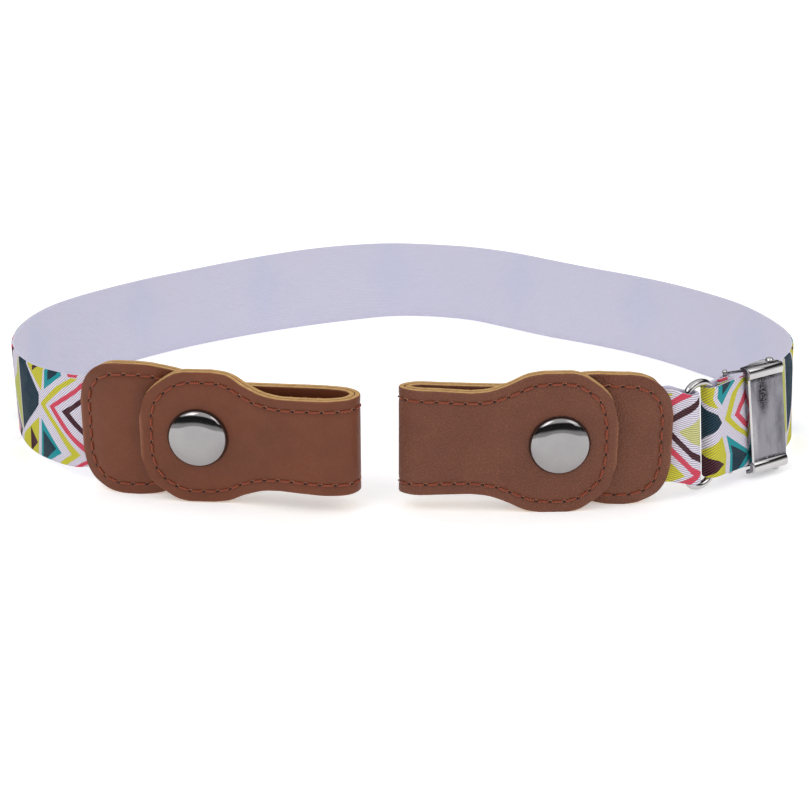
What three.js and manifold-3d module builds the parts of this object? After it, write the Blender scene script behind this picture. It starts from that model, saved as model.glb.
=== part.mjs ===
// Buckle-free elastic belt: a printed elastic strap with an adjuster clasp and an oval ring, and at
// each free end a folded leather loop that a snap closes round a trouser loop. Millimetres, +Z up.
// The belt stands on its edge as an open loop, with the two leather loops at the front (-Y).
import * as THREE from 'three';
import { mergeVertices } from 'three/addons/utils/BufferGeometryUtils.js';
import Module from 'manifold-3d';

const wasm = await Module();
wasm.setup();

// Driving sizes
const GAP = 0.3; // between pieces that touch on the real belt
const FOOTPRINT_MIDDLE = { x: -0.735, y: -81.168 }; // of the layout below, moved to the origin at the end
const STRAP_WIDTH = 25;
const STRAP_WIDTH_HELD = 24; // where metal holds it
const STRAP_THICK = 1.5;
const PLY_THICK = 1.2; // each of the two leather layers of a loop
const PLY_GAP = 0.3;
const LEATHER_MIDDLE = 17.5; // height of the middle of the leather's wide ends
const WIRE_RADIUS = 1.0; // wire of the oval ring
const RING_BAR_HALF = 3.9; // half the distance between the ring's two long bars
const RING_HALF_HEIGHT = 14.6; // outside of the ring
const RING_END = 2.5; // height of the ring's rounded ends
const FOLD_SLACK = 0.5; // how far a strap's fold stands off the ring's bar
const SNAP_CAP = { radius: 7.4, height: 2.5, rim: 0.6 };
const SNAP_STUD = { radius: 4.6, thick: 0.5, knobRadius: 1.9, knobHeight: 1.1 };
const SNAP_SOCKET = { radius: 5.8, thick: 0.8, hole: 2.4 };
const SNAP_BACK = { radius: 4.8, height: 1.1 };
const SEAT_GAP = 0.3; // between a snap's piece and the leather
const PIVOT_CLEARANCE = 0.15; // between the pivot and its holes, and between the lever and the rivets' heads
const PINCH = { height: 3, near: 1.5, far: 0.5 }; // how the plies close up above and below the strap
const WAIST_REACH = 26; // length over which the strip changes from its neck to its fold

// Directions in degrees between which the straps touch their bars; 90 faces the wearer
const RING_TURN = { from: -82, to: -268, steps: 12 };
const BAR_TURN = { from: 96, to: -90, steps: 10 };
const SHORT_TURN = { from: -133, to: 72, steps: 14 };
const CLASP_PASS = [6, 3.5, -4, -8.5]; // s of the stations at which the strap runs through the clasp
const TAIL_PASS = [2.5, 4.8]; // how far the stations of the tail lie past the end bar
const RING_APPROACH = { lift: 0.8, foldN: 0.4, foldLift: 0.1 }; // of the short strap at the ring
const SHORT_LAYERS = { front: { s: -6.4, n: 0.75 }, back: { s: -4.4, n: -2.2 } }; // where they near the ring

// Clasp frame and lever, in the clasp's own axes: s along the strap towards the wearer's side,
// n out of the strap's printed face, z across the strap. The strap's middle runs along n = 0.
const SHEET = 0.7;
const LEVER = {
  halfHeight: 14,
  leftS: -9.3,
  rightS: 2.5,
  leftN: 2.0,
  rightN: 4.35,
  bend: 1.5,
  flange: 7.5,
  endRadius: 3.0,
};
const PIVOT = { s: 0.6, n: 1.95, radius: 0.5, headRadius: 1.2, headThick: 0.5, inner: 12.3 };
const FRAME = {
  halfHeight: 12.95,
  rightS: 3.4,
  windowRightS: -6.3,
  joggleS: -9.6,
  barS: -11.6,
  barN: -3.3,
  barWidth: 0.8,
  armHalfHeight: 12.95,
  windowHalfHeight: 12.3,
  earThick: 0.55,
  earRadius: 0.95,
  earFoot: { left: 2.0, right: 1.4 },
  earShoulder: { left: 1.3, right: 1.05, rise: 2.2 },
  plateStep: 0.8,
};
const CLEAR = 20; // half size of a cutting box that goes past everything
const TOOTH = {
  pitch: 2.2,
  depth: 0.45,
  halfHeight: 11.5,
  share: 0.38,
  base: -1.0,
  root: -1.4,
  cut: 3,
  front: 4.5,
};

// Where the clasp and the ring stand, and how they lean with the tipped strap
const CLASP_POSE = { x: 94.1, y: -131.2, z: 14.9, headingDeg: 44, pitchDeg: 1.5, leanDeg: -9.5 };
const RING_POSE = { x: 74.1, y: -148.95, z: 15.9, headingDeg: 36, pitchDeg: -1.5, leanDeg: -4.5 };

// Colour, roughness and metalness
const LOOKS = {
  elastic: [0xdcd8ea, 0.85, 0],
  leather: [0x74483a, 0.6, 0],
  lining: [0x6c4233, 0.65, 0],
  nickel: [0xc9c9cc, 0.18, 1],
};

const belt = new THREE.Group();

function addPiece(name, geometry, look, parent = belt) {
  const [color, roughness, metalness] = LOOKS[look];
  geometry.computeVertexNormals();
  const mesh = new THREE.Mesh(geometry, new THREE.MeshStandardMaterial({ color, roughness, metalness }));
  mesh.name = name;
  parent.add(mesh);
}

// Solids joined and cut

function solid(geometry) {
  const bare = geometry.clone();
  bare.deleteAttribute('normal');
  bare.deleteAttribute('uv');
  const merged = mergeVertices(bare, 1e-4);
  return new wasm.Manifold(new wasm.Mesh({
    numProp: 3,
    vertProperties: new Float32Array(merged.attributes.position.array),
    triVerts: new Uint32Array(merged.index.array),
  }));
}

function geometryOf(manifold) {
  const mesh = manifold.getMesh();
  const geometry = new THREE.BufferGeometry();
  geometry.setAttribute('position', new THREE.BufferAttribute(new Float32Array(mesh.vertProperties), 3));
  geometry.setIndex(new THREE.BufferAttribute(new Uint32Array(mesh.triVerts), 1));
  return geometry;
}

function boxBetween(low, high) {
  const size = high.map((v, i) => v - low[i]);
  const middle = high.map((v, i) => (v + low[i]) / 2);
  return solid(new THREE.BoxGeometry(...size).translate(...middle));
}

// Bands: a ribbon on its edge that follows a path seen from above.
// A station holds the middle of its section (x, y), the heights of its two edges (bottom, top),
// how far its middle lies to the left of the path (offset), and how far a point shifts for each
// millimetre that it is above the middle (tiltX, tiltY).

function lerpRow(a, b, w) {
  return Object.fromEntries(Object.keys(a).map((key) => [key, THREE.MathUtils.lerp(a[key], b[key], w)]));
}

// Smooth path through the rows of a table, with `steps` stations to a row and `endSteps` to the
// first and last ones
function smoothRows(rows, steps, endSteps = steps) {
  const points = rows.map((row) => new THREE.Vector3(row.x, row.y, 0));
  const curve = new THREE.CatmullRomCurve3(points, false, 'centripetal');
  const last = rows.length - 1;
  const stations = [];
  for (let i = 0; i < last; i += 1) {
    const count = i === 0 || i === last - 1 ? endSteps : steps;
    for (let k = 0; k < count; k += 1) {
      const w = k / count;
      const { x, y } = curve.getPoint((i + w) / last);
      stations.push({ ...lerpRow(rows[i], rows[i + 1], w * w * (3 - 2 * w)), x, y });
    }
  }
  return [...stations, { ...rows[last] }];
}

function table(columns, rows) {
  return rows.map((row) => Object.fromEntries(columns.map((name, i) => [name, row[i]])));
}

// Unit normal to the left of the path at station i
function normalAt(rows, i) {
  const a = rows[Math.max(i - 1, 0)];
  const b = rows[Math.min(i + 1, rows.length - 1)];
  const t = new THREE.Vector2(b.x - a.x, b.y - a.y).normalize();
  return new THREE.Vector2(-t.y, t.x);
}

// Closed solid of a band. Its section follows the heights in `levels`, each [z, shift to the left],
// or else stands straight from bottom to top; each end has a lid.
function band(rows, thickness) {
  const positions = [];
  const index = [];
  const quad = (a, b, c, d) => index.push(a, b, c, a, c, d);
  const height = rows[0].levels?.length ?? 2;
  const around = 2 * height;
  rows.forEach((row, i) => {
    const n = normalAt(rows, i);
    const middle = (row.bottom + row.top) / 2;
    const levels = row.levels ?? [[row.bottom, 0], [row.top, 0]];
    const corner = (side, [z, shift]) => {
      const left = row.offset + shift + side * thickness / 2;
      const above = z - middle;
      positions.push(row.x + n.x * left + row.tiltX * above, row.y + n.y * left + row.tiltY * above, z);
    };
    levels.forEach((level) => corner(1, level));
    [...levels].reverse().forEach((level) => corner(-1, level));
    for (let k = 0; i > 0 && k < around; k += 1) {
      const [a, b] = [(i - 1) * around + k, (i - 1) * around + (k + 1) % around];
      quad(a, b, b + around, a + around);
    }
  });
  const end = (rows.length - 1) * around;
  for (let k = 0; k < height - 1; k += 1) {
    const [a, b, c, d] = [k, k + 1, around - 2 - k, around - 1 - k];
    quad(a, d, c, b);
    quad(end + a, end + b, end + c, end + d);
  }
  const geometry = new THREE.BufferGeometry();
  geometry.setAttribute('position', new THREE.Float32BufferAttribute(positions, 3));
  geometry.setIndex(index);
  return geometry;
}

// Frames of the clasp and the ring: local x along the strap, y towards the wearer, z up the strap

function standing({ x, y, z, headingDeg, pitchDeg, leanDeg }) {
  const frame = new THREE.Group();
  const [heading, pitch, lean] = [headingDeg, pitchDeg, leanDeg].map(THREE.MathUtils.degToRad);
  frame.position.set(x, y, z);
  frame.rotation.set(lean, pitch, heading, 'ZYX');
  frame.updateMatrixWorld();
  belt.add(frame);
  return frame;
}

const claspFrame = standing(CLASP_POSE);
const ringFrame = standing(RING_POSE);

// Station of a strap of the given width where it passes the local point (s, n), raised by `lift`
function stationIn(frame, s, n, width, lift = 0) {
  const middle = frame.localToWorld(new THREE.Vector3(s, -n, lift));
  const up = new THREE.Vector3(0, 0, 1).transformDirection(frame.matrixWorld);
  const reach = up.z * width / 2;
  return {
    x: middle.x,
    y: middle.y,
    bottom: middle.z - reach,
    top: middle.z + reach,
    offset: 0,
    tiltX: up.x / up.z,
    tiltY: up.y / up.z,
  };
}

// Stations round a bar that stands at (s, n), from one direction to another
function wrapRows(frame, s, n, radius, { from, to, steps }, lift = 0) {
  return Array.from({ length: steps + 1 }, (_, i) => {
    const a = THREE.MathUtils.degToRad(THREE.MathUtils.lerp(from, to, i / steps));
    return stationIn(frame, s + radius * Math.cos(a), n - radius * Math.sin(a), STRAP_WIDTH_HELD, lift);
  });
}

// Elastic strap: from its end inside the left leather loop, round the back, through the clasp,
// round the ring and round the clasp's end bar to its tail. `bottom` is the height of its lower
// edge and `lean` how far its top edge stands outside its lower one.
const STRAP_ROUTE = table(['x', 'y', 'bottom', 'lean'], [
  [-61.5, -148.2, 5.0, 0.0],
  [-69.4, -147.8, 5.0, 0.0],
  [-74.6, -146.3, 4.9, 0.0],
  [-80.6, -142.95, 4.6, 0.0],
  [-84.4, -140.3, 3.7, -1.2],
  [-87.9, -137.4, 3.2, -1.4],
  [-92.4, -132.6, 2.5, -1.0],
  [-97.3, -126.0, 1.5, -0.6],
  [-101.6, -118.8, 0.9, -0.2],
  [-105.4, -110.0, 0.4, 0.2],
  [-107.8, -101.0, 0.0, 0.4],
  [-108.5, -92.0, 0.0, 0.5],
  [-107.4, -81.0, 0.0, 0.6],
  [-103.7, -69.6, 0.0, 0.7],
  [-98.8, -61.7, 0.0, 0.7],
  [-92.3, -53.7, 0.0, 0.6],
  [-79.2, -40.6, 0.0, 0.5],
  [-67.9, -31.3, 0.0, 0.3],
  [-56.0, -22.6, 0.0, 1.3],
  [-43.8, -14.8, 0.0, 2.5],
  [-31.1, -7.9, 0.0, 3.4],
  [-18.1, -2.7, 0.0, 3.0],
  [-4.8, 0.6, 0.0, 1.0],
  [8.5, -0.2, 0.0, -0.3],
  [21.8, -3.8, 0.0, 0.3],
  [34.5, -11.3, 0.0, 2.4],
  [46.9, -20.7, 0.0, 2.2],
  [59.0, -29.0, 0.0, 0.6],
  [70.7, -37.2, 0.0, 0.4],
  [81.8, -47.0, 0.0, 1.2],
  [92.0, -58.8, 0.0, 1.8],
  [97.5, -66.2, 0.0, 1.5],
  [101.3, -73.6, 0.0, 1.2],
  [104.2, -81.4, 0.0, 0.8],
  [106.2, -88.8, 0.0, 0.4],
  [107.1, -96.0, 0.1, -0.1],
  [106.8, -102.6, 0.3, -0.7],
  [105.6, -109.2, 0.7, -1.4],
  [103.6, -116.0, 1.2, -2.2],
]);

function routeRows() {
  return STRAP_ROUTE.map((row, i) => {
    const n = normalAt(STRAP_ROUTE, i);
    const lean = row.lean / STRAP_WIDTH;
    return {
      x: row.x,
      y: row.y,
      bottom: row.bottom,
      top: row.bottom + STRAP_WIDTH,
      offset: 0,
      tiltX: n.x * lean,
      tiltY: n.y * lean,
    };
  });
}

const RING_WRAP = WIRE_RADIUS + 2 * GAP + STRAP_THICK / 2;
const BAR_WRAP = FRAME.barWidth + STRAP_THICK / 2;

function strapRows() {
  const throughClasp = CLASP_PASS.map((s) => stationIn(claspFrame, s, 0, STRAP_WIDTH_HELD));
  const atRing = wrapRows(ringFrame, RING_BAR_HALF - FOLD_SLACK, 0, RING_WRAP, RING_TURN);
  const atBar = wrapRows(claspFrame, FRAME.barS, FRAME.barN, BAR_WRAP, BAR_TURN);
  const tail = TAIL_PASS.map((back) => (
    stationIn(claspFrame, FRAME.barS - back, FRAME.barN + BAR_WRAP, STRAP_WIDTH)
  ));
  return [
    ...smoothRows([...routeRows(), ...throughClasp, atRing[0]], 3).slice(0, -1),
    ...atRing,
    ...atBar,
    ...tail,
  ];
}

addPiece('elastic_strap', band(strapRows(), STRAP_THICK), 'elastic');

// Leather loops: a strip of two plies from its wide base end, where it holds the strap between
// the plies, along the back wall to the fold and back as the flap to its wide disc end. `spread`
// is half the distance between the middles of the two plies, `middle` the height of the strip's.
const TOGETHER = (PLY_THICK + PLY_GAP) / 2;
const ROUND_STRAP = (STRAP_THICK + PLY_THICK) / 2 + GAP;
const ROUND_DOUBLED = ROUND_STRAP + (STRAP_THICK + GAP) / 2;

const LEFT_LOOP = {
  side: 1,
  snapX: -51.1,
  snapZ: LEATHER_MIDDLE,
  halfHeights: { base: 17.5, disc: 17.2, neck: 12.0, fold: 12.5 },
  rows: table(['x', 'y', 'spread', 'middle'], [
    [-80.6, -142.9, ROUND_STRAP, 17.3],
    [-74.6, -146.3, ROUND_STRAP, 17.5],
    [-69.4, -147.8, ROUND_STRAP, 17.5],
    [-61.8, -148.2, ROUND_STRAP, 17.5],
    [-59.2, -148.2, 1.2, 17.5],
    [-56.6, -148.3, TOGETHER, 17.5],
    [-46.0, -148.6, TOGETHER, 17.5],
    [-38.0, -149.2, TOGETHER, 17.5],
    [-28.0, -150.6, TOGETHER, 17.5],
    [-18.4, -152.6, TOGETHER, 17.5],
    [-13.9, -154.5, TOGETHER, 17.5],
    [-12.1, -157.5, TOGETHER, 17.5],
    [-13.9, -160.6, TOGETHER, 17.5],
    [-18.4, -161.7, TOGETHER, 17.5],
    [-24.2, -160.9, TOGETHER, 17.5],
    [-31.0, -159.2, TOGETHER, 17.5],
    [-38.0, -156.7, TOGETHER, 17.5],
    [-42.9, -154.7, TOGETHER, 17.5],
    [-51.4, -153.9, TOGETHER, 17.5],
    [-58.5, -153.3, TOGETHER, 17.5],
    [-65.6, -152.8, TOGETHER, 17.5],
  ]),
};

const RIGHT_LOOP = {
  side: -1,
  snapX: 37.9,
  snapZ: LEATHER_MIDDLE + 0.4,
  halfHeights: { base: 17.2, disc: 18.2, neck: 13.0, fold: 13.8 },
  rows: table(['x', 'y', 'spread', 'middle'], [
    [65.7, -152.5, ROUND_DOUBLED, 17.2],
    [59.7, -153.6, ROUND_DOUBLED, 17.2],
    [54.0, -154.0, ROUND_DOUBLED, 17.2],
    [50.6, -154.0, ROUND_DOUBLED, 17.3],
    [47.0, -154.0, 1.6, 17.5],
    [43.4, -154.0, TOGETHER, 17.7],
    [30.0, -154.2, TOGETHER, 18.0],
    [20.0, -154.6, TOGETHER, 18.2],
    [9.0, -155.0, TOGETHER, 18.2],
    [2.4, -155.3, TOGETHER, 18.2],
    [-0.1, -157.3, TOGETHER, 18.2],
    [2.4, -159.3, TOGETHER, 18.2],
    [9.0, -159.7, TOGETHER, 18.2],
    [20.0, -160.1, TOGETHER, 18.2],
    [30.0, -160.0, TOGETHER, 18.2],
    [37.9, -159.7, TOGETHER, 18.2],
    [45.4, -159.3, TOGETHER, 18.2],
    [52.2, -159.1, TOGETHER, 18.2],
  ]),
};

// Outline of a wide end: `reach` is the distance from the end along the strip and `share` the
// half height, as a share of the full one at the rounded end and of the way up from the neck
// on the shoulder.
const DISC_END = [[0, 0.3], [1.3, 0.58], [3.2, 0.73], [6, 0.86], [8.8, 0.96], [11.4, 1]];
const DISC_SHOULDER = [[18.5, 1], [22.5, 0.86], [27, 0.45], [31.5, 0.13], [36, 0]];
const BASE_END = [[0, 0.4], [0.9, 0.62], [3.6, 0.84], [7, 0.96], [10.5, 1]];
const BASE_SHOULDER = [[15, 1], [19, 0.93], [25, 0.66], [32, 0.3], [38, 0.07], [42, 0]];

function shareAt(outline, reach) {
  const points = outline.map(([x, y]) => new THREE.Vector2(x, y));
  const samples = new THREE.SplineCurve(points).getPoints(60);
  const i = samples.findIndex((p) => p.x >= reach);
  if (i < 0) {
    return points[points.length - 1].y;
  }
  if (i === 0) {
    return points[0].y;
  }
  const [a, b] = [samples[i - 1], samples[i]];
  return THREE.MathUtils.mapLinear(reach, a.x, b.x, a.y, b.y);
}

function endHalfHeight(full, neck, end, shoulder, reach) {
  const rounded = full * shareAt(end, reach);
  const waisted = THREE.MathUtils.lerp(neck, full, shareAt(shoulder, reach));
  return Math.min(rounded, waisted);
}

// Stations of a loop's middle line, with the strip's half height at each
function loopStations({ rows, halfHeights: { base, disc, neck, fold } }) {
  const stations = smoothRows(rows, 4, 7);
  let length = 0;
  stations.forEach((row, i) => {
    const before = stations[Math.max(i - 1, 0)];
    length += Math.hypot(row.x - before.x, row.y - before.y);
    row.along = length;
  });
  const foldAt = stations.reduce((best, row) => (Math.abs(row.x) < Math.abs(best.x) ? row : best)).along;
  return stations.map((row) => {
    const towardsFold = 1 - THREE.MathUtils.smoothstep(Math.abs(row.along - foldAt), 0, WAIST_REACH);
    const waist = THREE.MathUtils.lerp(neck, fold, towardsFold);
    const half = row.along < foldAt
      ? endHalfHeight(base, waist, BASE_END, BASE_SHOULDER, row.along)
      : endHalfHeight(disc, waist, DISC_END, DISC_SHOULDER, length - row.along);
    return { ...row, half };
  });
}

// One ply of a loop. `face` 1 is the ply that shows on the flap's front, -1 the ply behind it.
// Above and below the strap that they hold, the two plies close up, the waist-side one the most.
function plyRows(loop, stations, face) {
  const closing = (face > 0 ? PINCH.near : PINCH.far) * -face * loop.side;
  return stations.map((row) => {
    const flat = Math.min(row.half - 0.5, STRAP_WIDTH / 2 + 3 * GAP);
    const past = THREE.MathUtils.clamp((row.half - STRAP_WIDTH / 2 - 3 * GAP) / PINCH.height, 0, 1);
    const shift = closing * (row.spread - TOGETHER) * past;
    const levels = [[-row.half, shift], [-flat, 0], [flat, 0], [row.half, shift]];
    return {
      x: row.x,
      y: row.y,
      bottom: row.middle - row.half,
      top: row.middle + row.half,
      levels: levels.map(([z, left]) => [row.middle + z, left]),
      offset: face * loop.side * row.spread,
      tiltX: 0,
      tiltY: 0,
    };
  });
}

// Turned piece that rises towards -Y from its seat. Profile rows are [radius, height], top first.
function turned(profile, segments) {
  const points = profile.map(([r, h]) => new THREE.Vector2(r, h)).reverse();
  return new THREE.LatheGeometry(points, segments).rotateX(Math.PI);
}

const CAP_PROFILE = [
  [0, SNAP_CAP.height],
  [SNAP_CAP.radius * 0.32, SNAP_CAP.height * 0.965],
  [SNAP_CAP.radius * 0.6, SNAP_CAP.height * 0.85],
  [SNAP_CAP.radius * 0.82, SNAP_CAP.height * 0.64],
  [SNAP_CAP.radius * 0.95, SNAP_CAP.height * 0.42],
  [SNAP_CAP.radius, SNAP_CAP.rim / 2],
  [SNAP_CAP.radius * 0.985, 0],
  [0, 0],
];
const STUD_PROFILE = [
  [0, SNAP_STUD.thick + SNAP_STUD.knobHeight],
  [SNAP_STUD.knobRadius * 0.8, SNAP_STUD.thick + SNAP_STUD.knobHeight],
  [SNAP_STUD.knobRadius, SNAP_STUD.thick + SNAP_STUD.knobHeight * 0.6],
  [SNAP_STUD.knobRadius * 0.85, SNAP_STUD.thick],
  [SNAP_STUD.radius, SNAP_STUD.thick],
  [SNAP_STUD.radius, 0],
  [0, 0],
];
const SOCKET_PROFILE = [
  [SNAP_SOCKET.hole, SNAP_SOCKET.thick],
  [SNAP_SOCKET.radius * 0.9, SNAP_SOCKET.thick],
  [SNAP_SOCKET.radius, SNAP_SOCKET.thick * 0.6],
  [SNAP_SOCKET.radius, 0],
  [SNAP_SOCKET.hole, 0],
  [SNAP_SOCKET.hole, SNAP_SOCKET.thick],
];
const BACK_PROFILE = [
  [0, SNAP_BACK.height],
  [SNAP_BACK.radius * 0.7, SNAP_BACK.height * 0.85],
  [SNAP_BACK.radius, SNAP_BACK.height * 0.3],
  [SNAP_BACK.radius, 0],
  [0, 0],
];

// Seats a turned piece on the loop's flap or on its base wall, with its axis along the wall's
// normal. `outward` is 1 where the piece faces away from the wearer.
function seatSnapPart(name, geometry, loop, stations, onFlap, outward) {
  const fold = stations.reduce((best, row, i) => (Math.abs(row.x) < Math.abs(stations[best].x) ? i : best), 0);
  const from = onFlap ? fold : 0;
  const i = stations.findIndex((row, k) => (
    k > from && (row.x - loop.snapX) * (stations[k - 1].x - loop.snapX) <= 0
  ));
  const [before, after] = [stations[i - 1], stations[i]];
  const row = lerpRow(before, after, (loop.snapX - before.x) / (after.x - before.x));
  const along = new THREE.Vector2(after.x - before.x, after.y - before.y).normalize();
  const towards = along.x * outward > 0 ? 1 : -1;
  const [nx, ny] = [along.y * towards, -along.x * towards];
  const away = row.spread + PLY_THICK / 2 + SEAT_GAP;
  const holder = new THREE.Group();
  holder.position.set(row.x + nx * away, row.y + ny * away, loop.snapZ);
  holder.rotation.z = Math.atan2(nx, -ny);
  belt.add(holder);
  addPiece(name, geometry, 'nickel', holder);
}

for (const [name, loop] of [['left', LEFT_LOOP], ['right', RIGHT_LOOP]]) {
  const stations = loopStations(loop);
  addPiece(`${name}_leather_face`, band(plyRows(loop, stations, 1), PLY_THICK), 'leather');
  addPiece(`${name}_leather_lining`, band(plyRows(loop, stations, -1), PLY_THICK), 'lining');
  const seat = (piece, profile, segments, onFlap, outward) => seatSnapPart(
    `${name}_snap_${piece}`, turned(profile, segments), loop, stations, onFlap, outward,
  );
  seat('cap', CAP_PROFILE, 40, true, 1);
  seat('socket', SOCKET_PROFILE, 28, true, -1);
  seat('stud', STUD_PROFILE, 24, false, 1);
  seat('back', BACK_PROFILE, 24, false, -1);
}

// Short strap: doubled elastic round the ring, both ends held in the right leather loop
const SHORT_STRAP_END = 52; // x of its two ends inside the leather

// One layer, `inward` to the wearer's side of the leather's middle, and then past (s, n) at the ring
function shortLayerRows(inward, { s, n }) {
  const stations = loopStations(RIGHT_LOOP);
  const held = stations.map((row, i) => {
    const left = normalAt(stations, i);
    const shift = left.y < 0 ? -inward : inward;
    return {
      x: row.x + left.x * shift,
      y: row.y + left.y * shift,
      bottom: LEATHER_MIDDLE - STRAP_WIDTH / 2,
      top: LEATHER_MIDDLE + STRAP_WIDTH / 2,
      offset: 0,
      tiltX: 0,
      tiltY: 0,
    };
  });
  const first = held.findIndex((row) => row.x < SHORT_STRAP_END);
  return [...held.slice(0, first).reverse(), stationIn(ringFrame, s, n, STRAP_WIDTH_HELD, RING_APPROACH.lift)];
}

function shortStrapRows() {
  const apart = (STRAP_THICK + GAP) / 2;
  const { foldN, foldLift } = RING_APPROACH;
  const fold = wrapRows(ringFrame, FOLD_SLACK - RING_BAR_HALF, foldN, RING_WRAP, SHORT_TURN, foldLift);
  const layers = [[-apart, SHORT_LAYERS.front, fold[0]], [apart, SHORT_LAYERS.back, fold[fold.length - 1]]];
  const [front, back] = layers.map(([inward, near, last]) => {
    const rows = shortLayerRows(inward, near);
    return [...rows.slice(0, -2), ...smoothRows([...rows.slice(-2), last], 3)];
  });
  return [...front.slice(0, -1), ...fold, ...back.reverse().slice(1)];
}

addPiece('short_strap', band(shortStrapRows(), STRAP_THICK), 'elastic');

// Oval ring: a closed wire with two straight bars and rounded ends
class OvalWire extends THREE.Curve {
  getPoint(t) {
    const straight = 2 * (RING_HALF_HEIGHT - WIRE_RADIUS - RING_END);
    const bend = Math.PI * RING_BAR_HALF;
    const along = (t % 1) * 2 * (straight + bend);
    const half = along % (straight + bend);
    const turn = along < straight + bend ? 1 : -1;
    const a = Math.max(half - straight, 0) / RING_BAR_HALF;
    const z = Math.min(half, straight) - straight / 2 + RING_END * Math.sin(a);
    return new THREE.Vector3(turn * RING_BAR_HALF * Math.cos(a), 0, turn * z);
  }
}

addPiece('oval_ring', new THREE.TubeGeometry(new OvalWire(), 52, WIRE_RADIUS, 10, true), 'nickel', ringFrame);

// Clasp pieces are drawn as side outlines in (s, n) and extruded across the strap

function sidePlate(points, bottom, top) {
  const shape = new THREE.Shape(points.map(([s, n]) => new THREE.Vector2(s, -n)));
  return new THREE.ExtrudeGeometry(shape, { depth: top - bottom, bevelEnabled: false }).translate(0, 0, bottom);
}

function pivotCylinder(radius, bottom, top) {
  const geometry = new THREE.CylinderGeometry(radius, radius, top - bottom, 20).rotateX(Math.PI / 2);
  return geometry.translate(PIVOT.s, -PIVOT.n, (bottom + top) / 2);
}

function arcPoints(s, n, radius, fromDeg, toDeg, steps) {
  return Array.from({ length: steps + 1 }, (_, i) => {
    const a = THREE.MathUtils.degToRad(THREE.MathUtils.lerp(fromDeg, toDeg, i / steps));
    return [s + radius * Math.cos(a), n + radius * Math.sin(a)];
  });
}

// Back frame: a plate under the strap, two arms to the end bar that holds the strap's tail, and
// two ears that carry the lever
function claspBack() {
  const top = -(STRAP_THICK / 2 + GAP);
  const low = top - SHEET;
  const barTop = FRAME.barN + SHEET / 2;
  const barLow = FRAME.barN - SHEET / 2;
  const farS = FRAME.barS - FRAME.barWidth / 2;
  const nearS = FRAME.barS + FRAME.barWidth / 2;
  const side = [
    [FRAME.rightS, top], [FRAME.windowRightS, top], [FRAME.joggleS, barTop], [farS, barTop],
    [farS, barLow], [FRAME.joggleS, barLow], [FRAME.windowRightS, low], [FRAME.rightS, low],
  ];
  const earOutline = [
    [PIVOT.s - FRAME.earFoot.left, low], [PIVOT.s - FRAME.earShoulder.left, low + FRAME.earShoulder.rise],
    ...arcPoints(PIVOT.s, PIVOT.n, FRAME.earRadius, 175, 5, 10),
    [PIVOT.s + FRAME.earShoulder.right, low + FRAME.earShoulder.rise], [PIVOT.s + FRAME.earFoot.right, low],
  ];
  const inner = FRAME.halfHeight - FRAME.earThick;
  const full = solid(sidePlate(side, -FRAME.armHalfHeight, FRAME.armHalfHeight));
  const { windowHalfHeight, windowRightS } = FRAME;
  const window = boxBetween([nearS, -CLEAR, -windowHalfHeight], [windowRightS, CLEAR, windowHalfHeight]);
  let frame = full.subtract(window);
  for (const end of [-1, 1]) {
    const [a, b] = [end * FRAME.halfHeight, end * CLEAR].sort((p, q) => p - q);
    frame = frame.subtract(boxBetween([windowRightS + FRAME.plateStep, -CLEAR, a], [CLEAR, CLEAR, b]));
    const [low1, high1] = [end * inner, end * FRAME.halfHeight].sort((p, q) => p - q);
    frame = frame.add(solid(sidePlate(earOutline, low1, high1)));
  }
  return geometryOf(frame.subtract(solid(pivotCylinder(PIVOT.radius + PIVOT_CLEARANCE, -CLEAR, CLEAR))));
}

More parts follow.
